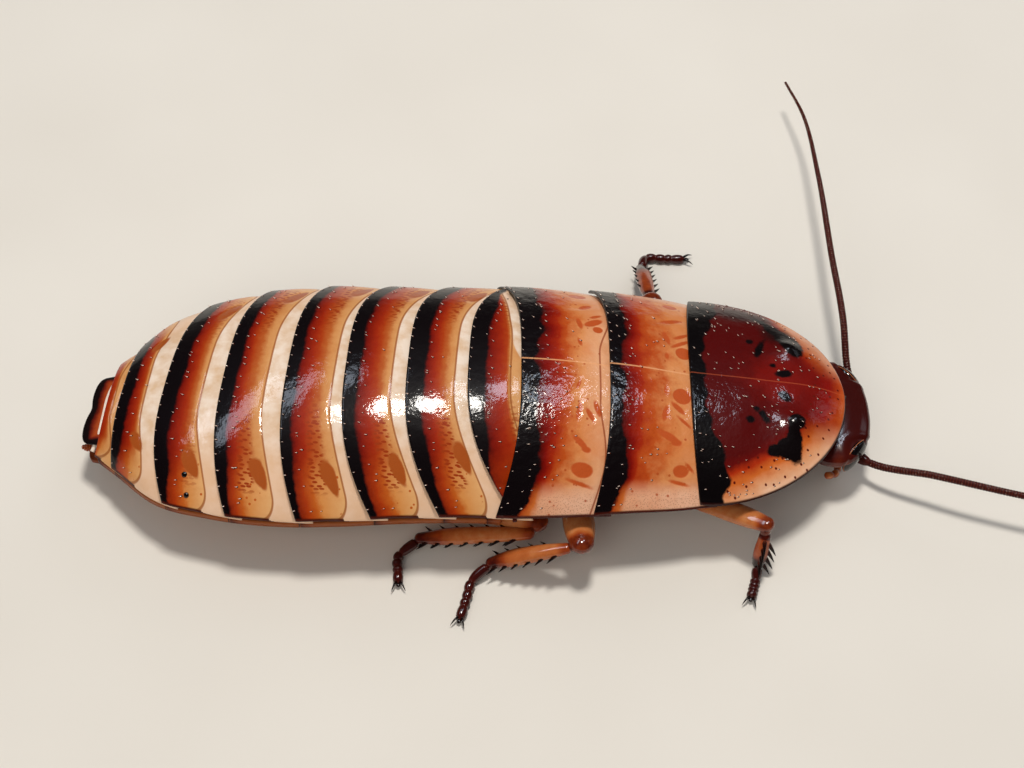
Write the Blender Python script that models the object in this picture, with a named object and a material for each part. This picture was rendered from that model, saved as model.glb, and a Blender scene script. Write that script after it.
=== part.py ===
# A Madagascar hissing cockroach at life size: wingless, about 55 mm long, standing on its six feet.
# The head points to +X, the animal's left side to +Y, and the floor is z = 0.
# Sizes are in millimetres; MM turns them into metres where a mesh is made.
import math

import bmesh
import bpy
import numpy as np
from mathutils import Vector

MM = 0.001
GAP = 0.3                 # space left between two pieces that touch on the real animal

# Stations along the body: place on the midline, half-width at the plates' edge, height of that
# edge, height of the ridge, height of the belly.
BODY_STATIONS = np.array((
    (-27.8, 2.4, 2.9, 3.9, 2.2),
    (-25.2, 4.75, 3.4, 5.6, 1.8),
    (-22.2, 7.65, 4.1, 6.9, 1.4),
    (-18.1, 9.35, 4.7, 8.2, 1.1),
    (-13.4, 10.2, 5.0, 9.1, 1.1),
    (-9.1, 10.3, 5.15, 9.6, 1.5),
    (-4.8, 10.1, 5.2, 9.85, 2.6),
    (-0.4, 10.05, 5.2, 9.9, 3.3),
    (3.1, 10.15, 5.2, 9.75, 3.3),
    (9.5, 9.75, 5.15, 9.15, 3.0),
    (15.0, 9.15, 5.0, 8.15, 3.0),
    (20.0, 7.8, 5.05, 7.35, 3.0),
    (24.0, 4.8, 5.2, 6.5, 3.0),
    (25.9, 3.0, 5.3, 5.6, 3.0),
))
HALF_WIDTH, EDGE, RIDGE, BELLY = 1, 2, 3, 4

# Hind margin of each back plate: place on the midline, how far forward it lies at both sides, and
# how much further forward on the left side than in the middle, because the abdomen bends a little.
HIND_MARGINS = {
    "pronotum": (15.0, 0.45, 0.05),
    "mesonotum": (9.4, -1.2, 0.05),
    "metanotum": (3.3, -1.75, 0.0),
    "abdomen_1": (-0.3, 3.6, 0.4),
    "abdomen_2": (-4.45, 2.8, 0.6),
    "abdomen_3": (-8.7, 2.55, 0.7),
    "abdomen_4": (-12.75, 1.75, 0.9),
    "abdomen_5": (-17.2, 1.5, 1.05),
    "abdomen_6": (-21.45, 1.35, 1.15),
    "abdomen_7": (-24.75, 0.25, 0.75),
    "abdomen_8": (-25.75, -0.3, 0.55),
}
LEAST_SHOWN = 0.9         # least length of a plate past the one in front, where it runs out
ABDOMEN = tuple(name for name in HIND_MARGINS if name.startswith("abdomen"))
MARGIN_BEND = 3.2         # how late the hind margins turn towards the sides
DOME_SPREAD = 2.4         # a larger number keeps the back flat for longer before it falls
DOME_FALL = 0.85
PLATE_RAISE = 0.25        # rise of a plate's hind rim over the body's smooth form
PLATE_SINK = 0.2          # depth of its front rim under that form
PLATE_FLARE = 0.08        # how far the hind corners stand out
PLATE_EDGE = 0.5          # thickness at the edge
EDGE_CROWDING = 0.75      # how much closer together a plate's columns stand at its sides

PRONOTUM_FRONT = 26.0     # foremost point of the first plate
PRONOTUM_CORNER = 16.0    # where its sides start to close in
PRONOTUM_HALF_WIDTH = 9.0
PRONOTUM_BLUNTNESS = 0.55 # a smaller number makes its front margin broader
PRONOTUM_ROWS, PRONOTUM_COLUMNS = 15, 25
PRONOTUM_LEVEL = 0.5      # it sinks at its front by this share of what the other plates do
KNOB_PLACE = (22.3, 3.1)  # the pair of low bosses on the first plate
KNOB_RADIUS = 0.95
KNOB_HEIGHT = 0.4

RIM_START = 0.89          # share of the half-width where the belly's side stands in under the edge
RIM_STEP = 0.035          # further share over which it rises to the edge
RIM_DROP = 0.95           # and how far under the edge it starts
BELLY_SHARES = (0, 0.18, 0.35, 0.5, 0.64, 0.75, 0.83, RIM_START, RIM_START + RIM_STEP, 1.0)
BELLY_BEND = 5            # how late the belly turns up towards the edge
BELLY_LAP = 0.15          # how much lower each belly plate is at its hind rim

# Tail plates: front, rear, half-width, height of the top in front and behind, thickness, notch.
TAIL_PLATES = {
    "supra_anal_plate": (-26.2, -27.35, 3.1, 4.35, 4.0, 0.45, 0.2, "back_plate"),
    "subgenital_plate": (-26.2, -27.1, 3.1, 2.15, 2.15, 0.6, 0.0, "belly"),
}
TAIL_HINGE = -26.2        # place on the midline about which they and the cerci turn to the right
TAIL_TURN = 7.0           # by this angle in degrees
TAIL_LAP = 0.3            # least length of a tail plate
TAIL_ROUNDING = 0.85      # of its hind corners; at 1 its sides have only that least length
TAIL_TAPER = 0.05         # loss of width towards the rear
TAIL_SAG = 0.15           # fall of the top towards the sides
NOTCH_WIDTH = 0.25        # as a share of the half-width

THORAX_WIDTH = 0.6        # breast's half-width as a share of the plates' half-width
BREAST = {"prothorax": (17.0, 21.9), "mesothorax": (9.9, 16.7), "metathorax": (3.2, 9.6)}
BREAST_SHARES = (-1, -0.85, -0.5, 0, 0.5, 0.85, 1)
BREAST_RISE = 0.8         # rise of the breast towards its sides

# Head levels from the mouth up: height, middle, half-length and half-width of each outline.
HEAD_LEVELS = (
    (0.55, 25.6, 0.7, 0.8),
    (1.0, 25.5, 1.2, 1.5),
    (1.7, 25.35, 1.75, 2.45),
    (2.4, 25.2, 2.25, 3.45),
    (3.1, 25.15, 2.65, 4.3),
    (3.65, 25.1, 2.85, 4.55),
    (4.1, 25.0, 2.6, 4.15),
    (4.38, 24.9, 1.9, 3.0),
)
HEAD_SQUARENESS = 0.9     # power of the outlines' sine and cosine; 1 is an ellipse
EYE_CENTRE = (26.56, 3.42, 3.35)
EYE_LONG_AXIS = (0.64, -0.77, 0.25)
EYE_OUT_AXIS = (0.77, 0.64, 0.1)
EYE_HALF_SIZES = (1.35, 0.8, 0.5)
PALP_POINTS = ((25.6, 1.75, 0.75), (25.8, 2.7, 0.75), (25.4, 3.5, 1.05), (24.7, 3.8, 1.35))
PALP_RADIUS = 0.27
PALP_SWELLING = 0.06      # of each of its three joints
CERCUS_POINTS = ((-26.3, 2.35, 2.8), (-26.9, 2.5, 2.8), (-27.45, 2.55, 2.85))
CERCUS_RADII = (0.28, 0.34, 0.32, 0.26, 0.12)

# Each antenna: points of its route from the face to the tip, and where along it the lengths part.
ANTENNA_ROUTES = {
    "left": ((26.55, 1.9, 1.75), (27.3, 3.1, 1.75), (26.95, 4.8, 2.9), (26.75, 7.4, 4.6),
             (26.45, 13.6, 5.0), (26.25, 22.4, 4.8), (25.8, 29.8, 4.0), (24.9, 34.2, 3.2)),
    "right": ((26.55, -1.9, 1.75), (27.6, -2.95, 1.95), (32.1, -5.0, 3.0), (37.9, -6.9, 3.3),
              (45.0, -8.6, 3.3), (52.0, -9.6, 2.9), (57.5, -9.9, 2.4)),
}
SCAPE_LENGTH = 1.9
SCAPE_RADIUS = 0.42
SCAPE_PROFILE = (0.6, 0.95, 1.0, 0.95, 0.85, 0.7)
FLAGELLUM_RADII = (0.3, 0.26, 0.1)    # at the scape, half way and at the tip

# Legs: hip, trochanter, knee, ankle, bend of the foot, end of the foot.
LEG_POINTS = {
    "right_front": ((19.6, -2.4, 1.9), (14.9, -5.4, 1.6), (19.85, -9.6, 3.8),
                    (19.5, -10.9, 1.0), (19.3, -11.9, 0.38), (18.9, -13.3, 0.28)),
    "right_mid": ((12.2, -2.3, 1.9), (6.9, -4.9, 1.6), (7.3, -11.0, 3.6),
                  (1.2, -10.9, 1.05), (-0.1, -11.9, 0.4), (-0.95, -15.0, 0.28)),
    "right_hind": ((5.8, -2.3, 1.9), (-1.9, -5.0, 1.5), (4.3, -8.9, 3.1),
                   (-3.75, -9.0, 1.2), (-5.3, -10.2, 0.42), (-5.2, -12.1, 0.28)),
    "left_front": ((19.6, 2.4, 1.9), (15.0, 5.2, 1.6), (19.1, 7.9, 3.4),
                   (20.3, 9.6, 1.0), (21.2, 9.9, 0.38), (22.7, 9.3, 0.28)),
    "left_mid": ((12.2, 2.3, 1.9), (8.2, 4.9, 1.6), (12.9, 10.2, 3.7),
                 (12.5, 15.9, 1.0), (13.0, 17.5, 0.38), (16.0, 17.5, 0.28)),
    "left_hind": ((5.8, 2.3, 1.9), (-1.9, 5.0, 1.5), (2.6, 9.3, 3.1),
                  (-5.4, 9.9, 1.2), (-7.1, 10.9, 0.42), (-8.6, 12.6, 0.28)),
}
COXA_WIDTH = 1.2                      # half-width; the radii below are half-widths too
FEMUR_WIDTHS = {"front": 0.78, "mid": 1.1, "hind": 1.1}
TIBIA_WIDTHS = {"front": 0.5, "mid": 0.62, "hind": 0.62}
COXA_FLATNESS, FEMUR_FLATNESS, TIBIA_FLATNESS = 0.55, 0.75, 0.85
HIP_RADIUS = 0.6                      # rounding of the ends that meet at each joint
KNEE_RADII = {"front": 0.6, "mid": 0.85, "hind": 0.8}
COXA_PROFILE = (0.9, COXA_WIDTH, COXA_WIDTH, 0.95, HIP_RADIUS)
FEMUR_PROFILE = (0.9, 1.0, 0.97)      # shares of its width between hip and knee
TIBIA_PROFILE = (0.9, 1.0, 1.0)
FEMUR_BOW, TIBIA_BOW = 0.15, 0.1      # rise of the middle over the straight line
LIMB_ENDS = ((0.66, 0.75), (0.95, 0.31))    # steps past an end and half-widths, in end radii
SHIN_RADIUS = 0.42
FOOT_RADIUS = 0.33
FOOT_SETBACK = 0.9                    # how far the first link reaches back, in end radii
TARSUS_RADIUS = 0.38
TARSUS_BEADS = 0.1                    # swelling of each of its links
TARSUS_ENDS = (0.45, 0.9, 0.75)       # thinning of its first two rings and of its last one
SPINE_RADIUS = 0.25
SPINE_COUNTS = {"front": 8, "mid": 11, "hind": 13}
SPINE_ROWS = ((0, 1.15), (-75, 1.3), (160, 0.95))    # turn about the tibia and length of each row
SPINE_SPAN = (0.1, 0.96)              # share of the tibia's length where they stand
SPINE_ROOT = 0.2                      # distance of its root from the middle of the tibia
SPINE_LEAN = 0.9                      # share of the tibia's direction in a spine's direction
SPINE_CLEARANCE = 0.35                # least height of a spine's tip over the floor
CLAW_LENGTH = 0.75
CLAW_RADIUS = 0.2
CLAW_SPREAD = 0.45                    # share of the sideways direction in a claw's direction
CLAW_OFFSET, CLAW_LIFT = 0.12, 0.05   # its root, from the middle of the last link

MATERIALS = {
    "back_plate": ((0.76, 0.28, 0.10), 0.28),
    "pronotum": ((0.36, 0.03, 0.02), 0.25),
    "belly": ((0.42, 0.16, 0.06), 0.35),
    "head": ((0.12, 0.02, 0.015), 0.2),
    "eye": ((0.02, 0.015, 0.015), 0.15),
    "antenna": ((0.16, 0.035, 0.02), 0.4),
    "leg": ((0.45, 0.16, 0.05), 0.3),
    "foot": ((0.12, 0.03, 0.02), 0.35),
}


# Helpers

def clear_scene():
    for thing in list(bpy.data.objects):
        bpy.data.objects.remove(thing, do_unlink=True)


def material(slot):
    found = bpy.data.materials.get(slot)
    if found:
        return found
    colour, roughness = MATERIALS[slot]
    made = bpy.data.materials.new(slot)
    made.use_nodes = True
    shader = made.node_tree.nodes["Principled BSDF"]
    shader.inputs["Base Color"].default_value = (*colour, 1.0)
    shader.inputs["Roughness"].default_value = roughness
    shader.inputs["Metallic"].default_value = 0.0
    return made


def mesh_object(name, points, faces, slot):
    mesh = bpy.data.meshes.new(name)
    mesh.from_pydata((np.asarray(points, dtype=float) * MM).tolist(), [], faces)
    mesh.validate()
    mesh.shade_smooth()
    mesh.set_sharp_from_angle(angle=math.radians(40))
    made = bpy.data.objects.new(name, mesh)
    bpy.context.scene.collection.objects.link(made)
    if slot:
        made.data.materials.append(material(slot))
    return made


def station_value(x, column):
    # A cubic between neighbouring stations, with the mean slope of the stations on both sides.
    places = BODY_STATIONS[:, 0]
    values = BODY_STATIONS[:, column]
    slopes = np.gradient(values, places)
    x = np.clip(x, places[0], places[-1])
    i = np.clip(np.searchsorted(places, x) - 1, 0, len(places) - 2)
    step = places[i + 1] - places[i]
    t = (x - places[i]) / step
    start = values[i] * (1 + 2 * t) * (1 - t) ** 2 + slopes[i] * step * t * (1 - t) ** 2
    end = values[i + 1] * (3 - 2 * t) * t ** 2 - slopes[i + 1] * step * (1 - t) * t ** 2
    return start + end


def dome(s):
    # Share of the back's rise at s, where s runs from -1 at the right edge to 1 at the left.
    return (1 - np.minimum(np.abs(s), 1) ** DOME_SPREAD) ** DOME_FALL


def hind_margin(name, s):
    # The middle's place, a turn forward or back at both sides, and a lean; never so far forward
    # that the plate would vanish under the one in front.
    place, sides, lean = HIND_MARGINS[name]
    margin = place + sides * np.abs(s) ** MARGIN_BEND + lean * s
    order = list(HIND_MARGINS)
    if name == order[0]:
        return margin
    return np.minimum(margin, hind_margin(order[order.index(name) - 1], s) - LEAST_SHOWN)


def unit(vector):
    vector = np.asarray(vector, dtype=float)
    return vector / np.linalg.norm(vector)


def smooth_route(points, count):
    # Points spread evenly along a cubic that passes through every given point.
    points = np.asarray(points, dtype=float)
    lengths = np.concatenate(([0], np.cumsum(np.linalg.norm(np.diff(points, axis=0), axis=1))))
    slopes = np.gradient(points, lengths, axis=0)
    at = np.linspace(0, lengths[-1], count)
    i = np.clip(np.searchsorted(lengths, at) - 1, 0, len(points) - 2)
    step = (lengths[i + 1] - lengths[i])[:, None]
    t = (at[:, None] - lengths[i][:, None]) / step
    start = points[i] * (1 + 2 * t) * (1 - t) ** 2 + slopes[i] * step * t * (1 - t) ** 2
    end = points[i + 1] * (3 - 2 * t) * t ** 2 - slopes[i + 1] * step * (1 - t) * t ** 2
    return start + end


# Solids

def pillow(name, x, y, top, bottom, slot):
    # A closed solid between two grids of heights; rows run forward, columns run to the left.
    rows, columns = x.shape
    upper = np.stack((x, y, top), axis=-1).reshape(-1, 3)
    lower = np.stack((x, y, bottom), axis=-1).reshape(-1, 3)
    at = np.arange(rows * columns).reshape(rows, columns)
    under = at + rows * columns
    faces = []
    for i in range(rows - 1):
        for j in range(columns - 1):
            faces.append((at[i, j], at[i + 1, j], at[i + 1, j + 1], at[i, j + 1]))
            faces.append((under[i, j], under[i, j + 1], under[i + 1, j + 1], under[i + 1, j]))
    last_row, last_column = rows - 1, columns - 1
    for j in range(columns - 1):
        faces.append((at[0, j], at[0, j + 1], under[0, j + 1], under[0, j]))
        faces.append((at[last_row, j + 1], at[last_row, j],
                      under[last_row, j], under[last_row, j + 1]))
    for i in range(rows - 1):
        faces.append((at[i + 1, 0], at[i, 0], under[i, 0], under[i + 1, 0]))
        faces.append((at[i, last_column], at[i + 1, last_column],
                      under[i + 1, last_column], under[i, last_column]))
    faces = [tuple(int(corner) for corner in face) for face in faces]
    return mesh_object(name, np.vstack((upper, lower)), faces, slot)


def tube(name, path, widths, heights, slot, sides=8, up=(0, 0, 1), floor=None):
    # Elliptical rings along a path, closed with a flat face at both ends.
    path = np.asarray(path, dtype=float)
    along = np.gradient(path, axis=0)
    along /= np.linalg.norm(along, axis=1)[:, None]
    across = np.cross(np.asarray(up, dtype=float), along)
    across /= np.linalg.norm(across, axis=1)[:, None]
    above = np.cross(along, across)
    turn = (np.arange(sides) + 0.5) * 2 * math.pi / sides
    rings = (path[:, None, :]
             + np.cos(turn)[None, :, None] * across[:, None, :] * np.asarray(widths)[:, None, None]
             + np.sin(turn)[None, :, None] * above[:, None, :] * np.asarray(heights)[:, None, None])
    if floor is not None:
        rings[..., 2] = np.maximum(rings[..., 2], floor)
    count = len(path)
    faces = []
    for i in range(count - 1):
        for j in range(sides):
            k = (j + 1) % sides
            faces.append((i * sides + j, i * sides + k, (i + 1) * sides + k, (i + 1) * sides + j))
    faces.append(tuple(range(sides))[::-1])
    faces.append(tuple((count - 1) * sides + j for j in range(sides)))
    return mesh_object(name, rings.reshape(-1, 3), faces, slot)


def limb(name, start, end, profile, flat, slot, bow=0.0, sides=8):
    # A leg piece with a round end about each of two points; profile gives its half-width at even
    # steps from the first point to the second, and the ends have its first and last value.
    start, end = np.asarray(start, dtype=float), np.asarray(end, dtype=float)
    length = np.linalg.norm(end - start)
    first, last = profile[0], profile[-1]
    inner = np.linspace(0, 1, 6)
    (near, near_share), (far, far_share) = LIMB_ENDS
    at = np.concatenate(((-far * first, -near * first), inner * length,
                         (length + near * last, length + far * last)))
    radii = np.concatenate(((far_share * first, near_share * first),
                            np.interp(inner, np.linspace(0, 1, len(profile)), profile),
                            (near_share * last, far_share * last)))
    path = start + (end - start) * (at / length)[:, None]
    path[:, 2] += bow * np.sin(math.pi * np.clip(at / length, 0, 1))
    return tube(name, path, radii, radii * flat, slot, sides)


def cone(root, direction, length, radius, sides=5):
    # A spine: a closed cone whose root is centred on the given point.
    direction = unit(direction)
    helper = (1, 0, 0) if abs(direction[0]) < 0.8 else (0, 1, 0)
    across = unit(np.cross(helper, direction))
    above = np.cross(direction, across)
    turn = np.arange(sides) * 2 * math.pi / sides
    ring = root + radius * (np.cos(turn)[:, None] * across + np.sin(turn)[:, None] * above)
    points = np.vstack((ring, root + direction * length))
    faces = [(j, (j + 1) % sides, sides) for j in range(sides)]
    faces.append(tuple(range(sides))[::-1])
    return mesh_object("spine", points, faces, None)


def ellipsoid(name, centre, long_axis, out_axis, sizes, slot, rings=7, sides=12):
    # A closed ellipsoid with its own axes; sizes are its half-length, half-width and half-depth.
    along = unit(long_axis)
    out = unit(np.asarray(out_axis, dtype=float) - along * np.dot(out_axis, along))
    across = np.cross(out, along)
    points = [np.asarray(centre, dtype=float) - along * sizes[0]]
    for i in range(1, rings):
        angle = math.pi * i / rings
        for j in range(sides):
            turn = 2 * math.pi * j / sides
            points.append(np.asarray(centre) - along * sizes[0] * math.cos(angle)
                          + math.sin(angle) * (math.cos(turn) * across * sizes[1]
                                               + math.sin(turn) * out * sizes[2]))
    points.append(np.asarray(centre) + along * sizes[0])
    last = len(points) - 1
    faces = []
    for j in range(sides):
        k = (j + 1) % sides
        faces.append((0, 1 + k, 1 + j))
        faces.append((last, last - sides + j, last - sides + k))
        for i in range(rings - 2):
            low, high = 1 + i * sides, 1 + (i + 1) * sides
            faces.append((low + j, low + k, high + k, high + j))
    made = mesh_object(name, points, faces, slot)
    face_outwards(made)
    return made


def face_outwards(made):
    work = bmesh.new()
    work.from_mesh(made.data)
    bmesh.ops.recalc_face_normals(work, faces=work.faces)
    work.to_mesh(made.data)
    work.free()


def keep_largest(made):
    # Drops every closed surface of a mesh but the one with the most faces.
    work = bmesh.new()
    work.from_mesh(made.data)
    left = set(work.faces)
    largest = set()
    while left:
        group = set()
        front = [left.pop()]
        while front:
            face = front.pop()
            group.add(face)
            for edge in face.edges:
                for other in edge.link_faces:
                    if other in left:
                        left.remove(other)
                        front.append(other)
        if len(group) > len(largest):
            largest = group
    loose = [face for face in work.faces if face not in largest]
    bmesh.ops.delete(work, geom=loose, context="FACES")
    work.to_mesh(made.data)
    work.free()


def combine(target, pieces, operation):
    # Joins the pieces to the target, or cuts them out of it, in one Boolean, and removes them.
    group = bpy.data.collections.new(target.name + "_pieces")
    bpy.context.scene.collection.children.link(group)
    for piece in pieces:
        bpy.context.scene.collection.objects.unlink(piece)
        group.objects.link(piece)
    change = target.modifiers.new("combine", "BOOLEAN")
    change.operation = operation
    change.operand_type = "COLLECTION"
    change.collection = group
    change.solver = "EXACT"
    bpy.context.view_layer.update()
    result = bpy.data.meshes.new_from_object(
        target.evaluated_get(bpy.context.evaluated_depsgraph_get()))
    target.modifiers.remove(change)
    target.data = result
    for piece in pieces:
        bpy.data.objects.remove(piece, do_unlink=True)
    bpy.data.collections.remove(group)
    keep_largest(target)


# Back plates and abdomen

def cross_positions(count):
    # Places across the body, closer together towards the edges, where the back falls faster.
    turn = np.linspace(-1, 1, count)
    return np.sin(turn * math.pi / 2) * EDGE_CROWDING + turn * (1 - EDGE_CROWDING)


def plate_lift(u):
    # Height over the body's smooth form, from the hind rim at u = 0 to the front rim at u = 1.
    return PLATE_RAISE * (1 - u) - PLATE_SINK * u


def back_height(x, s, u):
    edge = station_value(x, EDGE)
    rise = station_value(x, RIDGE) - edge
    return edge + rise * dome(s) + plate_lift(u)


def plate_grid(name, in_front, rows, across):
    # Rows from the plate's hind margin to 0.3 mm short of the margin of the plate in front.
    u = np.linspace(0, 1, rows)[:, None]
    s = across[None, :]
    hind = hind_margin(name, s)
    front = hind_margin(in_front, s) - GAP
    x = hind + u * (front - hind)
    y = s * (station_value(x, HALF_WIDTH) + PLATE_FLARE * (1 - 2 * u))
    return x, y, s * np.ones_like(u), u * np.ones_like(s)


def pronotum():
    # Columns keep their distance from the midline and end on the rounded front margin.
    s = np.sin(np.linspace(-1, 1, PRONOTUM_COLUMNS) * math.pi / 2)[None, :]
    u = np.linspace(0, 1, PRONOTUM_ROWS)[:, None]
    hind = hind_margin("pronotum", s)
    reach = PRONOTUM_FRONT - PRONOTUM_CORNER
    front = PRONOTUM_CORNER + reach * (1 - s ** 2) ** PRONOTUM_BLUNTNESS
    x = hind + u * (front - hind)
    y = s * PRONOTUM_HALF_WIDTH * np.ones_like(u)
    forward = np.clip((x - PRONOTUM_CORNER) / reach, 0, 1)
    local = np.sqrt(1 - forward ** (1 / PRONOTUM_BLUNTNESS)) * PRONOTUM_HALF_WIDTH
    share = np.abs(y) / np.maximum(local, np.abs(y) + 1e-6)
    top = back_height(x, share, u * PRONOTUM_LEVEL)
    away = np.hypot(x - KNOB_PLACE[0], np.abs(y) - KNOB_PLACE[1])
    top = top + KNOB_HEIGHT * np.exp(-(away / KNOB_RADIUS) ** 2)
    bottom = station_value(x, EDGE) - PLATE_EDGE
    top = np.maximum(top, bottom + PLATE_EDGE)
    return pillow("pronotum", x, y, top, bottom, "pronotum")


def thorax_plate(name, in_front):
    x, y, s, u = plate_grid(name, in_front, 6, cross_positions(21))
    bottom = station_value(x, EDGE) - PLATE_EDGE
    top = np.maximum(back_height(x, s, u), bottom + PLATE_EDGE)
    return pillow(name, x, y, top, bottom, "back_plate")


def abdomen_segment(name, in_front):
    # A slice of the abdomen: the back plate over the belly, whose side stands in under the edge.
    inner = np.array(BELLY_SHARES)
    across = np.concatenate((-inner[:0:-1], inner))
    x, y, s, u = plate_grid(name, in_front, 5, across)
    edge = station_value(x, EDGE)
    top = np.maximum(back_height(x, s, u), edge)
    belly = station_value(x, BELLY) - BELLY_LAP * (1 - u)
    side = np.minimum(np.abs(s) / RIM_START, 1) ** BELLY_BEND
    under = belly + (edge - RIM_DROP - belly) * side
    bottom = np.where(np.abs(s) > RIM_START + RIM_STEP / 2, edge - PLATE_EDGE, under)
    return pillow(name, x, y, top, bottom, "back_plate")


def turned(x, y):
    # Places of the tail after its turn about the hinge, left side forward.
    turn = math.radians(TAIL_TURN)
    behind = x - TAIL_HINGE
    return (TAIL_HINGE + behind * math.cos(turn) + y * math.sin(turn),
            y * math.cos(turn) - behind * math.sin(turn))


def tail_plate(name):
    # A small plate with round hind corners and a shallow notch between them.
    front, hind, half_width, front_top, hind_top, thickness, notch, slot = TAIL_PLATES[name]
    s = np.sin(np.linspace(-1, 1, 13) * math.pi / 2)[None, :]
    u = np.linspace(0, 1, 4)[:, None]
    shape = (1 - TAIL_ROUNDING * s ** 6) ** 0.5 - notch * np.exp(-(s / NOTCH_WIDTH) ** 2)
    rear = front - TAIL_LAP + (hind - front + TAIL_LAP) * shape
    x = rear + u * (front - rear)
    y = s * half_width * (1 - TAIL_TAPER * (1 - u))
    x, y = turned(x, y)
    top = hind_top + (front_top - hind_top) * u - TAIL_SAG * s ** 2
    return pillow(name, x, y, top, top - thickness, slot)


def breast(name):
    # The underside of one part of the thorax, under its back plate and over the hips.
    rear, front = BREAST[name]
    s = np.array(BREAST_SHARES)[None, :]
    u = np.linspace(0, 1, 4)[:, None]
    x = rear + u * (front - rear) + 0 * s
    y = s * THORAX_WIDTH * station_value(x, HALF_WIDTH)
    top = station_value(x, EDGE) - PLATE_EDGE - GAP
    bottom = station_value(x, BELLY) + BREAST_RISE * np.abs(s) ** 4
    return pillow(name, x, y, top, bottom, "belly")


# Head

def eye_frame(side):
    sign = 1 if side == "left" else -1
    flip = np.array((1, sign, 1))
    return np.array(EYE_CENTRE) * flip, np.array(EYE_LONG_AXIS) * flip, np.array(EYE_OUT_AXIS) * flip


def head():
    sides = 20
    turn = np.arange(sides) * 2 * math.pi / sides
    rings = []
    for level, middle, half_length, half_width in HEAD_LEVELS:
        squared_x = np.sign(np.cos(turn)) * np.abs(np.cos(turn)) ** HEAD_SQUARENESS
        squared_y = np.sign(np.sin(turn)) * np.abs(np.sin(turn)) ** HEAD_SQUARENESS
        rings.append(np.stack((middle + half_length * squared_x, half_width * squared_y,
                               np.full(sides, level)), axis=-1))
    points = np.concatenate(rings)
    faces = []
    for i in range(len(HEAD_LEVELS) - 1):
        for j in range(sides):
            k = (j + 1) % sides
            faces.append((i * sides + j, i * sides + k, (i + 1) * sides + k, (i + 1) * sides + j))
    faces.append(tuple(range(sides))[::-1])
    faces.append(tuple((len(HEAD_LEVELS) - 1) * sides + j for j in range(sides)))
    made = mesh_object("head", points, faces, "head")
    pockets = []
    for side in ("left", "right"):
        centre, long_axis, out_axis = eye_frame(side)
        grown = [size + GAP for size in EYE_HALF_SIZES]
        pockets.append(ellipsoid("pocket", centre, long_axis, out_axis, grown, None))
        route = smooth_route(ANTENNA_ROUTES[side], 60)
        socket = [route[0] + (route[0] - route[1]) * 2, route[0], route[4]]
        radii = [SCAPE_RADIUS + GAP] * 3
        pockets.append(tube("socket", socket, radii, radii, None, sides=10))
    combine(made, pockets, "DIFFERENCE")
    return made


def eye(side):
    centre, long_axis, out_axis = eye_frame(side)
    ellipsoid("eye_" + side, centre, long_axis, out_axis, EYE_HALF_SIZES, "eye", rings=6, sides=10)


def antenna(side):
    # A stout scape on the face, then two lengths of the whip, each stopping short of the next.
    count = 400
    route = smooth_route(ANTENNA_ROUTES[side], count)
    total = np.linalg.norm(np.diff(route, axis=0), axis=1).sum()
    scape_end = int(count * SCAPE_LENGTH / total)
    skip = max(1, math.ceil(count * GAP / total))
    middle = count // 2
    picks = np.linspace(0, scape_end, 6).astype(int)
    radii = SCAPE_RADIUS * np.array(SCAPE_PROFILE)
    tube("antenna_" + side + "_scape", route[picks], radii, radii, "antenna")
    spans = {"inner": (scape_end + skip, middle), "outer": (middle + skip, count - 1)}
    for part, (first, last) in spans.items():
        picks = np.linspace(first, last, 15).astype(int)
        radii = np.interp(picks / count, (0, 0.5, 1), FLAGELLUM_RADII)
        tube("antenna_" + side + "_" + part, route[picks], radii, radii, "antenna", sides=7)


def palp(side):
    # A jointed feeler of the mouth, curling outwards under the cheek.
    sign = 1 if side == "left" else -1
    path = smooth_route(PALP_POINTS, 10) * np.array((1, sign, 1))
    radii = PALP_RADIUS + PALP_SWELLING * np.sin(np.linspace(0, 3 * math.pi, 10)) ** 2
    tube("palp_" + side, path, radii, radii, "leg", sides=7)


def cercus(side):
    # A short feeler beside the tail plate.
    sign = 1 if side == "left" else -1
    path = smooth_route(CERCUS_POINTS, len(CERCUS_RADII)) * np.array((1, sign, 1))
    path[:, 0], path[:, 1] = turned(path[:, 0], path[:, 1])
    tube("cercus_" + side, path, CERCUS_RADII, CERCUS_RADII, "leg", sides=7)


# Legs

def next_start(before, joint, after, reach):
    # Where the next piece of a leg starts: straight on from the joint, or beside the piece that
    # ends there when the leg folds back on itself.
    back = unit(np.subtract(before, joint))
    on = unit(np.subtract(after, joint))
    folded = max(float(np.dot(on, back)), 0.0)
    return joint + unit(on - folded * back) * reach


def tibia_spines(start, end, count, sideways):
    # Spines on the tibia's outer, lower and inner sides in turn, leaning towards the foot.
    along = unit(end - start)
    out = unit(sideways - along * np.dot(sideways, along))
    above = np.cross(along, out)
    above = above if above[2] > 0 else -above
    spines = []
    for i, share in enumerate(np.linspace(*SPINE_SPAN, count)):
        degrees, length = SPINE_ROWS[i % len(SPINE_ROWS)]
        turn = math.radians(degrees)
        lean = math.cos(turn) * out + math.sin(turn) * above
        root = start + (end - start) * share + lean * SPINE_ROOT
        direction = unit(lean + along * SPINE_LEAN)
        if direction[2] < 0:
            length = min(length, (root[2] - SPINE_CLEARANCE) / -direction[2])
        spines.append(cone(root, direction, length, SPINE_RADIUS))
    return spines


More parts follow.
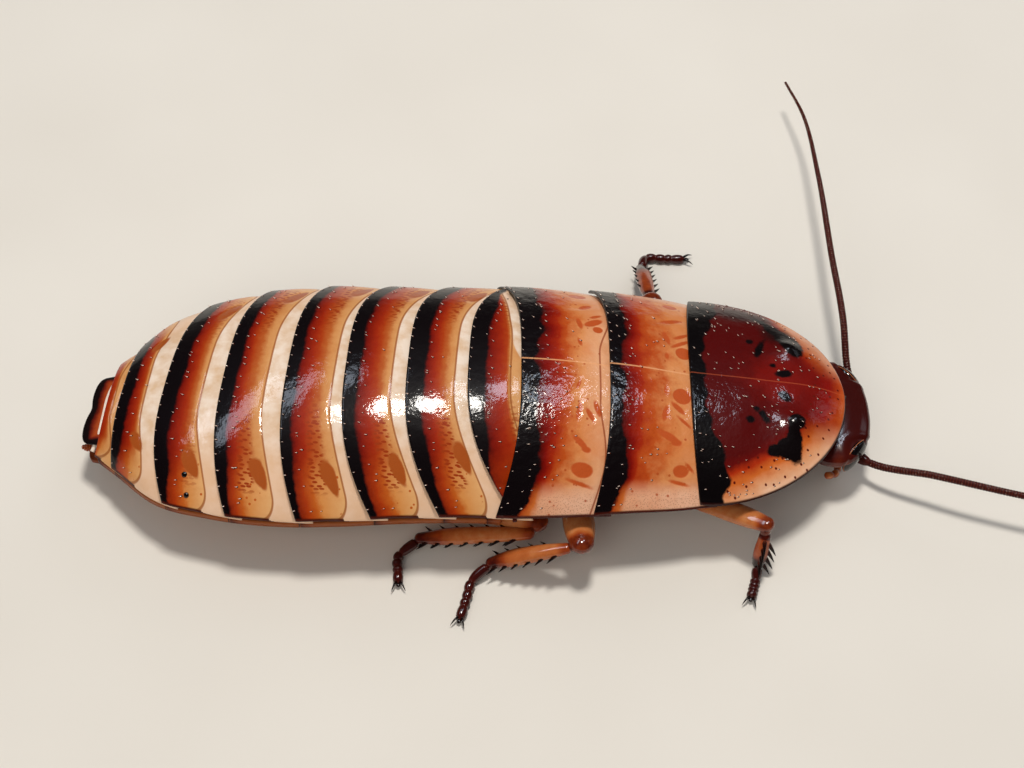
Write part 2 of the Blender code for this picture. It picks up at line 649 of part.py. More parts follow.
def leg(name):
    hip, trochanter, knee, ankle, bend, tip = (np.array(p) for p in LEG_POINTS[name])
    side, pair = name.split("_")
    wide, slim, knee_radius = FEMUR_WIDTHS[pair], TIBIA_WIDTHS[pair], KNEE_RADII[pair]
    limb("coxa_" + name, hip, trochanter, COXA_PROFILE, COXA_FLATNESS, "belly")
    start = next_start(hip, trochanter, knee, 2 * HIP_RADIUS + GAP)
    profile = (HIP_RADIUS, *(wide * share for share in FEMUR_PROFILE), knee_radius)
    limb("femur_" + name, start, knee, profile, FEMUR_FLATNESS, "leg", FEMUR_BOW)
    start = next_start(trochanter, knee, ankle, knee_radius + SHIN_RADIUS + GAP)
    profile = (SHIN_RADIUS, *(slim * share for share in TIBIA_PROFILE), SHIN_RADIUS)
    shin = limb("tibia_" + name, start, ankle, profile, TIBIA_FLATNESS, "leg", TIBIA_BOW)
    outward = np.array((0.0, 1.0 if side == "left" else -1.0, 0.0))
    if abs(unit(ankle - start)[1]) > 0.7:
        outward = np.array((1.0, 0.0, 0.0))
    combine(shin, tibia_spines(start, ankle, SPINE_COUNTS[pair], outward), "UNION")
    foot(name, next_start(knee, ankle, bend, SHIN_RADIUS + FOOT_RADIUS + GAP), bend, tip)


def foot(name, start, bend, tip):
    # Five short links, flat underneath where they lie on the floor, and a pair of claws.
    middle = bend + (tip - bend) * 0.5
    before = start - unit(bend - start) * FOOT_RADIUS * FOOT_SETBACK
    path = smooth_route((before, bend, middle, tip), 14)
    beads = 1 + TARSUS_BEADS * np.cos(np.linspace(0, 8 * math.pi, 14))
    radii = TARSUS_RADIUS * beads
    radii[[0, 1, -1]] *= TARSUS_ENDS
    made = tube("tarsus_" + name, path, radii, radii, "foot", floor=0.0)
    along = unit((tip - bend) * np.array((1, 1, 0)))
    across = np.array((-along[1], along[0], 0))
    claws = []
    for sign in (-1, 1):
        root = path[-2] + across * sign * CLAW_OFFSET + np.array((0, 0, CLAW_LIFT))
        claws.append(cone(root, along + across * sign * CLAW_SPREAD, CLAW_LENGTH, CLAW_RADIUS))
    combine(made, claws, "UNION")


def stand_on_origin():
    # Hangs every piece on one empty that puts the middle of the whole box over the origin.
    pieces = [thing for thing in bpy.context.scene.objects if thing.type == "MESH"]
    corners = np.array([list(point.co) for thing in pieces for point in thing.data.vertices])
    low, high = corners.min(axis=0), corners.max(axis=0)
    holder = bpy.data.objects.new("cockroach", None)
    holder.location = Vector((-(low[0] + high[0]) / 2, -(low[1] + high[1]) / 2, 0))
    bpy.context.scene.collection.objects.link(holder)
    for thing in pieces:
        thing.parent = holder


def main():
    clear_scene()
    pronotum()
    thorax_plate("mesonotum", "pronotum")
    thorax_plate("metanotum", "mesonotum")
    in_front = "metanotum"
    for name in ABDOMEN:
        abdomen_segment(name, in_front)
        in_front = name
    for name in TAIL_PLATES:
        tail_plate(name)
    for name in BREAST:
        breast(name)
    head()
    for side in ("left", "right"):
        eye(side)
        antenna(side)
        palp(side)
        cercus(side)
    for name in LEG_POINTS:
        leg(name)
    stand_on_origin()


main()
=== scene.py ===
# Life-size Madagascar hissing cockroach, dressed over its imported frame.
# Shapes are worked out in body millimetres: x runs from tail to head, y to the animal's left and z
# up from the floor. bodyShift carries them into the frame.
import math
import bpy
import numpy as np
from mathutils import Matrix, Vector


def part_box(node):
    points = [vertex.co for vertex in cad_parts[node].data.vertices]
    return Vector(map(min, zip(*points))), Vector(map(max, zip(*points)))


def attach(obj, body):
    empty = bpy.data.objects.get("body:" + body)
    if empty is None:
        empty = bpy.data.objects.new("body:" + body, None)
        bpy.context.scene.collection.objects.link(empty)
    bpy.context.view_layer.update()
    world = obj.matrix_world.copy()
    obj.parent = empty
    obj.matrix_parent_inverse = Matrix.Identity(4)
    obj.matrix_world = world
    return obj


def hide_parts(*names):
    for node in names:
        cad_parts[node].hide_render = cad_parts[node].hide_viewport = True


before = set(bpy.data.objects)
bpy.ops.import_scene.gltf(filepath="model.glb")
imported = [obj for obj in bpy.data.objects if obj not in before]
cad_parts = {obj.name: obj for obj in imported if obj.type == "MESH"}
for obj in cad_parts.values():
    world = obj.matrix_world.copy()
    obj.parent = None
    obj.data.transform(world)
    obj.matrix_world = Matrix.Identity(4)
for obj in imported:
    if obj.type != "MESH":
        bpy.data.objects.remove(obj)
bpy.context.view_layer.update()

mm = 0.001
draw = np.random.default_rng(11)

body = {
    # place on the midline, half-width, height of the edge, of the ridge and of the belly
    "stations": np.array((
        (-27.8, 2.4, 2.9, 3.9, 2.2), (-25.2, 4.75, 3.4, 5.6, 1.8), (-22.2, 7.65, 4.1, 6.9, 1.4),
        (-18.1, 9.35, 4.7, 8.2, 1.1), (-13.4, 10.2, 5.0, 9.1, 1.1), (-9.1, 10.3, 5.15, 9.6, 1.5),
        (-4.8, 10.1, 5.2, 9.85, 2.6), (-0.4, 10.05, 5.2, 9.9, 3.3), (3.1, 10.15, 5.2, 9.75, 3.3),
        (9.5, 9.75, 5.15, 9.15, 3.0), (15.0, 9.15, 5.0, 8.15, 3.0), (20.0, 7.8, 5.05, 7.35, 3.0),
        (24.0, 4.8, 5.2, 6.5, 3.0), (25.9, 3.0, 5.3, 5.6, 3.0))),
    # hind margin of each back plate: place on the midline, how far forward it lies at the sides, and
    # its lean, which is how much further forward the left side lies than the middle
    "margins": {
        "pronotum": (15.0, 0.45, 0.05), "mesonotum": (9.4, -1.2, 0.05), "metanotum": (3.3, -1.75, 0.0),
        "abdomen_1": (-0.3, 3.6, 0.4), "abdomen_2": (-4.45, 2.8, 0.6), "abdomen_3": (-8.7, 2.55, 0.7),
        "abdomen_4": (-12.75, 1.75, 0.9), "abdomen_5": (-17.2, 1.5, 1.05),
        "abdomen_6": (-21.45, 1.35, 1.15), "abdomen_7": (-24.75, 0.25, 0.75),
        "abdomen_8": (-25.75, -0.3, 0.55)},
    "leastShown": 0.9,     # least length of a belly plate past the one in front
    "marginBend": 3.2,
    "domeSpread": 2.4,
    "domeFall": 0.85,
}
halfWidth, edgeHeight, ridgeHeight, bellyHeight = 1, 2, 3, 4    # columns of the stations
plateOrder = list(body["margins"])
bothSides = (("left", 1), ("right", -1))

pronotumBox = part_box("pronotum")
pronotumTip = 26.0                                              # body x of the frame's foremost plate point
bodyShift = np.array((pronotumBox[1].x / mm - pronotumTip,
                      (pronotumBox[0].y + pronotumBox[1].y) / 2 / mm, 0.0))
print("frame loaded,", len(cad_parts), "nodes, body shift", bodyShift.round(3))


# Shapes

def smoothStep(low, high, value):
    # 0 below low, 1 above high, and the cubic 3t^2 - 2t^3 between
    t = np.clip((value - low) / (high - low), 0, 1)
    return t * t * (3 - 2 * t)


def unit(vector):
    # the vector over its own length
    vector = np.asarray(vector, float)
    return vector / np.maximum(np.linalg.norm(vector, axis=-1, keepdims=True), 1e-12)


def bell(value, width, centre=0.0):
    # 1 at the centre, falling off on both sides: exp(-((value - centre) / width)^2)
    return np.exp(-((value - centre) / width) ** 2)


def signedPower(value, power):
    # size of the value to a power, with its sign; a power below 1 squares off a circle
    return np.sign(value) * np.abs(value) ** power


def fullTurn(count):
    # angles spaced evenly once round
    return np.arange(count) * 2 * math.pi / count


def smoothCurve(places, values, at):
    # cubic between neighbouring places, each with the mean slope of its two sides
    places, values = np.asarray(places, float), np.asarray(values, float)
    slopes = np.gradient(values, places, axis=0)
    i = np.clip(np.searchsorted(places, at) - 1, 0, len(places) - 2)
    step = places[i + 1] - places[i]
    t = (at - places[i]) / step
    if values.ndim > 1:
        step, t = step[:, None], t[:, None]
    return (values[i] * (1 + 2 * t) * (1 - t) ** 2 + slopes[i] * step * t * (1 - t) ** 2
            + values[i + 1] * (3 - 2 * t) * t ** 2 - slopes[i + 1] * step * (1 - t) * t ** 2)


def station(x, column):
    # half-width of the body at x, or one of its heights
    places = body["stations"][:, 0]
    return smoothCurve(places, body["stations"][:, column], np.clip(x, places[0], places[-1]))


def dome(s):
    # share of the back's rise at share s of the half-width: (1 - |s|^2.4)^0.85
    return (1 - np.minimum(np.abs(s), 1) ** body["domeSpread"]) ** body["domeFall"]


def hindMargin(name, s):
    # place + sides |s|^3.2 + lean s; the first abdomen plate's corners pass under the plate in front
    place, sides, lean = body["margins"][name]
    return place + sides * np.abs(s) ** body["marginBend"] + lean * s


def bellyMargin(name, s):
    # the same, but never past the margin in front less leastShown
    margin = hindMargin(name, s)
    if name == plateOrder[0]:
        return margin
    return np.minimum(margin, bellyMargin(plateOrder[plateOrder.index(name) - 1], s) - body["leastShown"])


def lengthsAlong(points):
    # running length of a path at each of its points
    return np.concatenate(([0], np.cumsum(np.linalg.norm(np.diff(points, axis=0), axis=1))))


def routeThrough(points, count):
    # points spread evenly along a cubic through all the given points
    points = np.asarray(points, float)
    lengths = lengthsAlong(points)
    return smoothCurve(lengths, points, np.linspace(0, lengths[-1], count))


def gridFaces(rows, columns, wrap=False):
    # four-sided faces of a grid of points; with wrap the last column joins the first
    i, j = np.meshgrid(np.arange(rows - 1), np.arange(columns if wrap else columns - 1), indexing="ij")
    k = (j + 1) % columns
    return np.stack((i * columns + j, (i + 1) * columns + j, (i + 1) * columns + k,
                     i * columns + k), -1).reshape(-1, 4)


def rimOf(rows, columns):
    # numbers of the points round the edge of a grid, in order
    at = np.arange(rows * columns).reshape(rows, columns)
    return np.concatenate((at[0, :-1], at[:-1, -1], at[-1, :0:-1], at[:0:-1, 0]))


def wallFaces(rings):
    # faces between neighbouring closed rows of point numbers
    after = np.roll(rings, -1, axis=1)
    return np.stack((rings[:-1], after[:-1], after[1:], rings[1:]), -1).reshape(-1, 4)


def shell(top, thickness, roll):
    # closed plate from its outer grid: the inner grid lies one thickness inwards along the normal, and
    # two rolled rows, pushed out by roll, join them round the rim; source says whose marks a point has
    rows, columns = top.shape[:2]
    total = rows * columns
    normal = unit(np.cross(np.gradient(top, axis=0), np.gradient(top, axis=1)))
    outer, inner = top.reshape(-1, 3), (top - normal * thickness).reshape(-1, 3)
    rim = rimOf(rows, columns)
    inside = np.clip(rim // columns, 1, rows - 2) * columns + np.clip(rim % columns, 1, columns - 2)
    outward = unit(outer[rim] - outer[inside])
    loops = [outer[rim] + (inner[rim] - outer[rim]) * share + outward * roll for share in (0.25, 0.75)]
    added = 2 * total + np.arange(len(rim))
    walls = wallFaces(np.stack((rim, added, added + len(rim), total + rim)))
    upper = gridFaces(rows, columns)
    source = np.concatenate((np.arange(total), np.arange(total), rim, rim))
    return (np.concatenate((outer, inner, *loops)), [upper, upper[:, ::-1] + total, walls]), source


def sweep(path, radii, sides, flat=1.0, onFloor=False):
    # elliptical rings across a path, flat being their height over their width, with a point at both
    # ends; on the floor nothing reaches below z = 0
    along = unit(np.gradient(path, axis=0))
    across = unit(np.cross((0.0, 0.0, 1.0), along))
    above = np.cross(along, across)
    turn = fullTurn(sides)[None, :, None]
    radii = np.broadcast_to(radii, len(path))[:, None, None]
    rings = path[:, None] + radii * (np.cos(turn) * across[:, None] + flat * np.sin(turn) * above[:, None])
    if onFloor:
        rings[..., 2] = np.maximum(rings[..., 2], 0)
    return closeRings(rings)


def ringMarks(values, sides, first, last):
    # marks of closed rings: one value a ring, and those of the two end points
    return np.concatenate((np.repeat(values, sides), (first, last)))


def closeRings(rings):
    # rings joined by faces, and a fan to the middle of the first and the last
    rows, sides = rings.shape[:2]
    points = np.concatenate((rings.reshape(-1, 3), rings[:1].mean(axis=1), rings[-1:].mean(axis=1)))
    faces = gridFaces(rows, sides, wrap=True)[:, ::-1]
    j = np.arange(sides)
    k = (j + 1) % sides
    first, last = rows * sides, rows * sides + 1
    start = np.stack((np.full(sides, first), k, j), -1)
    end = np.stack((np.full(sides, last), (rows - 1) * sides + j, (rows - 1) * sides + k), -1)
    return points, [faces, start, end]


def roundEnds(length, firstRadius, lastRadius, count):
    # places along a limb and their share of the radius: quarter circles beyond both end points
    turn = np.linspace(0.12, math.pi / 2, 8)
    middle = np.linspace(0, length, count)
    places = np.concatenate((-firstRadius * np.cos(turn[:-1]), middle,
                             length + lastRadius * np.cos(turn[-2::-1])))
    shares = np.concatenate((np.sin(turn[:-1]), np.ones(count), np.sin(turn[-2::-1])))
    return places, shares


def ball(centre, long, out, sizes, rings=24, sides=32):
    # ellipsoid with its own long and outward axes; sizes are half-length, half-width and half-depth
    along = unit(long)
    outward = unit(np.asarray(out, float) - along * np.dot(out, along))
    across = np.cross(outward, along)
    angle = np.linspace(0.06, math.pi - 0.06, rings)[:, None, None]
    turn = fullTurn(sides)[None, :, None]
    return closeRings(np.asarray(centre, float) - along * sizes[0] * np.cos(angle) + np.sin(angle)
                      * (np.cos(turn) * across * sizes[1] + np.sin(turn) * outward * sizes[2]))


def spread(shape, roots, forwards, normals, sizes):
    # one copy of a small shape at every root: its x runs along forwards and its z along normals
    template, faces = shape
    xAxis = unit(forwards)
    yAxis = unit(np.cross(normals, xAxis))
    zAxis = np.cross(xAxis, yAxis)
    sizes = np.broadcast_to(np.asarray(sizes, float), (len(roots),))[:, None, None]
    points = (roots[:, None] + sizes * (template[None, :, :1] * xAxis[:, None]
              + template[None, :, 1:2] * yAxis[:, None] + template[None, :, 2:] * zAxis[:, None]))
    steps = np.arange(len(roots))[:, None, None] * len(template)
    return points.reshape(-1, 3), [(f[None] + steps).reshape(-1, f.shape[1]) for f in faces]


def joined(shapes):
    # several (points, faces) as one
    points, faces, start = [], [], 0
    for somePoints, someFaces in shapes:
        points.append(somePoints)
        faces += [f + start for f in someFaces]
        start += len(somePoints)
    return np.concatenate(points), faces


def volumeOf(points, faces):
    # a sixth of the sum of corner triple products over all faces, cut in triangles
    total = 0
    for f in faces:
        for k in range(1, f.shape[1] - 1):
            total += np.einsum("ij,ij->", points[f[:, 0]], np.cross(points[f[:, k]], points[f[:, k + 1]]))
    return total / 6


def makePiece(name, shape, finish, nodes, marks, source=None):
    # body millimetres into a mesh in the frame; faces are turned out where the volume is negative.
    # Marks are what the finish reads: several by name, or its tint alone.
    points, faces = shape
    if volumeOf(points, faces) < 0:
        faces = [f[:, ::-1] for f in faces]
    mesh = bpy.data.meshes.new(name)
    mesh.vertices.add(len(points))
    mesh.vertices.foreach_set("co", ((points + bodyShift) * mm).astype(np.float32).ravel())
    sizes = np.concatenate([np.full(len(f), f.shape[1]) for f in faces])
    corners = np.concatenate([f.ravel() for f in faces])
    mesh.loops.add(len(corners))
    mesh.loops.foreach_set("vertex_index", corners.astype(np.int32))
    mesh.polygons.add(len(sizes))
    mesh.polygons.foreach_set("loop_start", np.concatenate(([0], np.cumsum(sizes)[:-1])).astype(np.int32))
    mesh.update(calc_edges=True)
    mesh.validate()
    mesh.shade_smooth()
    for mark, values in (marks if isinstance(marks, dict) else {"tint": marks}).items():
        values = np.asarray(values, np.float32).ravel()
        values = np.resize(values, len(points)) if source is None else values[source]
        mesh.attributes.new(mark, "FLOAT", "POINT").data.foreach_set("value", values)
    mesh.materials.append(finish)
    made = bpy.data.objects.new(name, mesh)
    bpy.context.scene.collection.objects.link(made)
    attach(made, "root")
    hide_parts(*nodes)


# Finishes

def tone(code):
    # sRGB hex to linear: ((c + 0.055) / 1.055)^2.4, or c / 12.92 near black
    channels = [int(code[i:i + 2], 16) / 255 for i in (1, 3, 5)]
    return tuple(c / 12.92 if c <= 0.04045 else ((c + 0.055) / 1.055) ** 2.4 for c in channels) + (1.0,)


def addNode(tree, kind, inputs, out=0, ramp=None, **settings):
    # adds a shader node, sets and links its inputs, and gives back one of its outputs; an input given
    # as text is the name of one of the piece's marks
    made = tree.nodes.new("ShaderNode" + kind)
    for key, value in settings.items():
        setattr(made, key, value)
    for key, value in inputs.items():
        if isinstance(value, str):
            value = addNode(tree, "Attribute", {}, out="Fac", attribute_name=value)
        if isinstance(value, bpy.types.NodeSocket):
            tree.links.new(value, made.inputs[key])
        else:
            made.inputs[key].default_value = value
    if ramp:
        steps = made.color_ramp.elements
        while len(steps) < len(ramp):
            steps.new(0.5)
        for step, (place, code) in zip(steps, ramp):
            step.position = place
            step.color = tone(code)
    return made.outputs[out]


def startFinish(name, sockets):
    # a Principled material with constant sockets, and Object coordinates scaled to millimetres
    made = bpy.data.materials.new(name)
    made.use_nodes = True
    tree = made.node_tree
    shader = tree.nodes["Principled BSDF"]
    for key, value in sockets.items():
        shader.inputs[key].default_value = value
    place = addNode(tree, "Mapping", {"Vector": addNode(tree, "TexCoord", {}, out="Object"),
                                      "Scale": (1 / mm, 1 / mm, 1 / mm)})
    return made, tree, shader, place


# the coat carries the gloss; the rougher surface under it hardly shines, so that reds stay deep
chitin = {"IOR": 1.5, "Roughness": 0.4, "Specular IOR Level": 0.05,
          "Coat Weight": 0.5, "Coat Roughness": 0.09, "Coat IOR": 1.5}


def plateFinish(name, look):
    # Sclerotised chitin of the back: hard and lacquer-like, coloured by one ramp along the middle and
    # one along the sides, then by layers that follow each plate. Marks say how far a point is, in mm,
    # from each boundary; noise makes the boundaries ragged.
    made, tree, shader, place = startFinish(name, chitin)
    noises = {key: addNode(tree, "TexNoise", {"Vector": place, "Scale": scale, "Detail": detail,
                                              "Roughness": roughness})
              for key, (scale, detail, roughness) in look["noises"].items()}
    ragged = addNode(tree, "Math", {0: noises["ragged"], 1: 0.5}, operation="SUBTRACT")
    share = addNode(tree, "Math", {0: ragged, 1: look["raggedShare"], 2: "bandShare"},
                    operation="MULTIPLY_ADD")
    middle, side = (addNode(tree, "ValToRGB", {"Fac": share}, ramp=look[key]) for key in ("middle", "side"))
    sideFrom, sideTo, sideBlend = look["towardsSide"]
    towardsSide = addNode(tree, "MapRange", {"Value": "sideShare", "From Min": sideFrom, "From Max": sideTo},
                          interpolation_type=sideBlend)
    colour = addNode(tree, "Mix", {0: towardsSide, 6: middle, 7: side}, out=2, data_type="RGBA")

    if "cream" in look:     # the banded plates
        comb = addNode(tree, "CombineXYZ", {"X": "redGap", "Y": "acrossPlate"})
        comb = addNode(tree, "Mapping", {"Vector": comb, "Scale": look["combScale"]})
        measures = {
            "amber": addNode(tree, "Math", {0: "amberShare", 1: 0.25, 2: noises["amber"]},
                             operation="MULTIPLY_ADD"),
            "dots": addNode(tree, "TexVoronoi", {"Vector": place, "Scale": 1.5, "Randomness": 1.0}),
            "flecks": addNode(tree, "TexVoronoi", {"Vector": comb, "Scale": 1.0,
                              "Randomness": look["combLoose"]}, voronoi_dimensions="2D"),
            "lineAway": addNode(tree, "Math", {0: "lineGap"}, operation="ABSOLUTE"),
        }
        dark, light, atSide = (tone(code) for code in look["cream"])
        cloud = addNode(tree, "MapRange", {"Value": noises["cloud"], "From Min": 0.35, "From Max": 0.65})
        cream = addNode(tree, "Mix", {0: cloud, 6: dark, 7: light}, out=2, data_type="RGBA")
        peach = addNode(tree, "MapRange", {"Value": "sideShare", "From Min": 0.35, "From Max": 0.85,
                                           "To Max": 0.75}, interpolation_type="SMOOTHSTEP")
        cream = addNode(tree, "Mix", {0: peach, 6: cream, 7: atSide}, out=2, data_type="RGBA")
    else:
        measures = {"pores": addNode(tree, "TexVoronoi", {"Vector": place, "Scale": 1.15, "Randomness": 0.8},
                                     voronoi_dimensions="2D")}

    for measure, loose, start, full, strength, within, code in look["layers"]:
        gap = measures.get(measure, measure)
        if loose:
            gap = addNode(tree, "Math", {0: ragged, 1: loose, 2: gap}, operation="MULTIPLY_ADD")
        mask = addNode(tree, "MapRange", {"Value": gap, "From Min": start, "From Max": full,
                                          "To Max": strength}, interpolation_type="SMOOTHSTEP")
        if within:
            mask = addNode(tree, "Math", {0: mask, 1: within}, operation="MULTIPLY")
        colour = addNode(tree, "Mix", {0: mask, 6: colour, 7: cream if code == "cream" else tone(code)},
                         out=2, data_type="RGBA")
    tree.links.new(colour, shader.inputs["Base Color"])

    relief = addNode(tree, "Math", {0: noises["swell"], 1: 3.0, 2: noises["pebble"]},
                     operation="MULTIPLY_ADD")
    bump = addNode(tree, "Bump", {"Height": relief, "Strength": look["relief"], "Distance": 0.03 * mm})
    for socket in ("Normal", "Coat Normal"):
        tree.links.new(bump, shader.inputs[socket])
    return made


# Layers are listed from the lowest up: what each is measured by (a pattern or a mark), how ragged it
# is, where it starts and where it is full, its strength, the mark that limits it, and its colour.
tergiteLook = {
    "noises": {"ragged": (1.9, 4.0, 0.6), "cloud": (0.9, 3.0, 0.55), "amber": (0.55, 4.0, 0.65),
               "pebble": (4.5, 2.0, 0.5), "swell": (1.1, 1.0, 0.5)},    # scale, detail and roughness
    "raggedShare": 0.22, "relief": 0.3,
    "middle": [(0.0, "#4a0602"), (0.1, "#741003"), (0.34, "#942407"), (0.5, "#a2380e"), (0.68, "#ae5826"),
               (0.84, "#c88a52"), (1.0, "#cf9862")],
    "side": [(0.0, "#781c05"), (0.22, "#a4360a"), (0.46, "#bb5c1e"), (0.6, "#d08a4a"), (1.0, "#dca870")],
    "towardsSide": (0.62, 0.92, "SMOOTHSTEP"),
    "combScale": (1.9, 4.0, 1.0), "combLoose": 0.85,    # short dashes along the body, about true size
    "cream": ("#d6b697", "#e8d6c6", "#e2b896"),         # its clouds, dark and light, and its sides
    "layers": (
        ("amber", 0, 0.45, 0.75, 0.35, "tanShare", "#b96a2c"),
        ("dots", 0, 0.17, 0.1, 1.0, "dotShare", "#b4541c"),
        ("flecks", 0, 0.38, 0.3, 1.0, "fleckShare", "#94340e"),
        ("creamGap", 0, -0.05, 0.1, 1.0, None, "cream"),
        ("ovalGap", 0.12, 0.07, -0.06, 1.0, None, "#a04d1c"),
        ("lineAway", 0, 0.09, 0.03, 0.8, None, "#94501f"),
        ("blackGap", 0.3, 0.12, -0.1, 1.0, None, "#0b0507"),
        ("rimGap", 0, 0.14, 0.05, 1.0, None, "#421208")),
}
notumLook = {
    "noises": dict(tergiteLook["noises"], ragged=(0.9, 4.0, 0.6)),
    "raggedShare": 0.34, "relief": 0.9,
    "middle": [(0.0, "#480401"), (0.2, "#780b02"), (0.4, "#982407"), (0.55, "#b04818"), (0.7, "#cf8650"),
               (1.0, "#dca27a")],
    "side": [(0.0, "#9a3409"), (0.25, "#c2662c"), (0.45, "#d89a76"), (0.8, "#e2b092"), (1.0, "#e2b092")],
    "towardsSide": (0.82, 0.94, "SMOOTHSTEP"),
    "combScale": (6.0, 6.0, 1.0), "combLoose": 1.0,
    "cream": ("#d3946a", "#dea47c", "#e2b092"),
    "layers": (
        ("amber", 0, 0.45, 0.75, 0.28, "tanShare", "#c4601f"),
        ("dots", 0, 0.17, 0.1, 1.0, "dotShare", "#a8451a"),
        ("flecks", 0, 0.24, 0.16, 1.0, "fleckShare", "#a06c50"),
        ("creamGap", 0, -0.05, 0.1, 1.0, None, "cream"),
        ("scarGap", 0.12, 0.06, -0.04, 1.0, None, "#b65023"),
        ("lineAway", 0, 0.09, 0.03, 0.8, None, "#8f3a12"),
        ("blackGap", 0.9, 0.12, -0.1, 1.0, None, "#0b0507"),
        ("rimGap", 0, 0.14, 0.05, 1.0, None, "#421208"),
        ("midGap", 0, 0.085, 0.03, 0.75, None, "#e0a070")),
}
# Thick, deep-coloured chitin of the neck shield: maroon under a clear gloss, black blotches, and a
# thin translucent margin that lets more light through, so that it looks orange and peach.
shieldLook = {
    "noises": {"ragged": (1.1, 4.0, 0.6), "pebble": (4.0, 2.0, 0.5), "swell": (0.8, 1.0, 0.5)},
    "raggedShare": 0.225, "relief": 0.7,
    "middle": [(0.0, "#b4521f"), (0.12, "#a4370f"), (0.32, "#840f05"), (0.6, "#680804"), (1.0, "#4e0504")],
    "side": [(0.0, "#e2b494"), (0.2, "#d9966a"), (0.4, "#c66428"), (0.62, "#a42c0a"), (0.8, "#5e0704"),
             (1.0, "#4e0504")],
    "towardsSide": (0.0, 1.0, "LINEAR"),
    "layers": (
        ("redShare", 0.8, 0.0, 1.0, 0.75, None, "#7c0f05"),
        ("pores", 0, 0.12, 0.07, 1.0, "poreShare", "#5a1208"),
        ("hazeGap", 0.6, 0.4, -0.6, 1.0, None, "#280605"),
        ("blotchGap", 0.6, 0.1, -0.08, 1.0, None, "#0a0405"),
        ("blackGap", 0.6, 0.14, -0.1, 1.0, None, "#080405"),
        ("midGap", 0, 0.07, 0.02, 0.35, None, "#c25a36"),
        ("rimGap", 0, 0.14, 0.04, 1.0, None, "#2c0a05")),
}
bandedTergite = plateFinish("sclerotised chitin, banded", tergiteLook)
bandedNotum = plateFinish("sclerotised chitin, pebbled", notumLook)
shieldChitin = plateFinish("sclerotised chitin, neck shield", shieldLook)


def gradedFinish(name, changes, ramp, mottle, grainScale, grainDepth):
    # Chitin whose colour runs along the piece's tint, such as a leg's length, with mottling and a fine
    # grain
    made, tree, shader, place = startFinish(name, {**chitin, **changes})
    cloud = addNode(tree, "TexNoise", {"Vector": place, "Scale": 1.6, "Detail": 4.0, "Roughness": 0.6})
    cloud = addNode(tree, "Math", {0: cloud, 1: 0.5}, operation="SUBTRACT")
    share = addNode(tree, "Math", {0: cloud, 1: mottle, 2: "tint"}, operation="MULTIPLY_ADD")
    colour = addNode(tree, "ValToRGB", {"Fac": share}, ramp=ramp)
    tree.links.new(colour, shader.inputs["Base Color"])
    grain = addNode(tree, "TexNoise", {"Vector": place, "Scale": grainScale, "Detail": 2.0})
    bump = addNode(tree, "Bump", {"Height": grain, "Strength": grainDepth, "Distance": 0.03 * mm})
    tree.links.new(bump, shader.inputs["Normal"])
    return made


# thin, flexible chitin of the belly: brown and satin, darker where plates overlap
bellyChitin = gradedFinish(
    "sclerotised chitin, belly", {"Roughness": 0.42, "Coat Weight": 0.3},
    [(0.0, "#2c0e06"), (0.12, "#5a2410"), (0.5, "#8a4420"), (1.0, "#a0602f")], 0.35, 3.5, 0.4)
# polished capsule of the head, dark mahogany on the crown and redder on the cheeks
headChitin = gradedFinish(
    "sclerotised chitin, head capsule", {"Roughness": 0.28, "Coat Weight": 0.7, "Coat Roughness": 0.16},
    [(0.0, "#a8623c"), (0.3, "#6e2a14"), (0.6, "#430e08"), (1.0, "#340806")], 0.25, 2.2, 0.35)
# compound eye: black facets under a clear cornea
eyeChitin = gradedFinish("compound eye facets", {"Roughness": 0.2, "Coat Weight": 1.0},
                         [(0.0, "#060405"), (1.0, "#150b0c")], 0.2, 22.0, 0.8)
# feeler: dull rings of thin dark chitin, a little paler between the rings
feelerChitin = gradedFinish(
    "sclerotised chitin, feeler rings", {"Roughness": 0.45, "Coat Weight": 0.2},
    [(0.0, "#7a3c28"), (0.4, "#451712"), (1.0, "#2c0c0a")], 0.3, 9.0, 0.4)
# leg chitin is thin and amber, dark where it is thick at the joints
legChitin = gradedFinish(
    "sclerotised chitin, amber leg",
    {"Roughness": 0.3, "Coat Weight": 0.9, "Subsurface Weight": 0.12,
     "Subsurface Radius": (1.0, 0.4, 0.15), "Subsurface Scale": 0.4 * mm},
    [(0.0, "#1c0605"), (0.16, "#4c1208"), (0.4, "#8e3a16"), (0.7, "#b0602f"), (1.0, "#c88a58")],
    0.45, 4.0, 0.5)
# feet: thick, dark red-brown links that let a little light through
footChitin = gradedFinish("sclerotised chitin, foot links", {"Roughness": 0.3, "Coat Weight": 0.8},
                          [(0.0, "#1a0605"), (0.4, "#3f100c"), (1.0, "#6e2a1a")], 0.35, 5.0, 0.4)
# last plate: orange-red in the middle and thick, black chitin along its hind border
tailChitin = gradedFinish(
    "sclerotised chitin, tail plate", {},
    [(0.0, "#0c0506"), (0.28, "#160706"), (0.42, "#6a1a0a"), (0.6, "#9c3f18"), (1.0, "#b0602c")],
    0.25, 4.0, 0.35)
# spines, claws and bristle sockets: thick chitin, nearly black, polished by wear
darkChitin = gradedFinish("sclerotised chitin, spines and claws", {"Roughness": 0.25},
                          [(0.0, "#0d0504"), (0.6, "#2a0d07"), (1.0, "#5a210f")], 0.25, 6.0, 0.3)
# bristles: hollow amber hairs. The ramp's pale, near-white upper half is a painted highlight that stands in
# for the glints on the back's bristles (tint 0.4); the feeler hairs (tint 0.2) keep a paler amber, their own
# colour
hairAmberAndPaintedGlint = gradedFinish("bristle chitin, amber with painted glint", {"Roughness": 0.25},
                             [(0.0, "#9a6a50"), (0.5, "#efdccf"), (1.0, "#f7ebe2")], 0.1, 9.0, 0.1)
# soft joint membrane at the tail: pale, waxy, finely wrinkled
membrane = gradedFinish("arthrodial membrane", {"Roughness": 0.5, "Coat Weight": 0.15},
                        [(0.0, "#b58a6c"), (0.5, "#e2cdb8"), (1.0, "#f2e8dc")], 0.5, 7.0, 0.7)
print("finishes made")


# Back plates

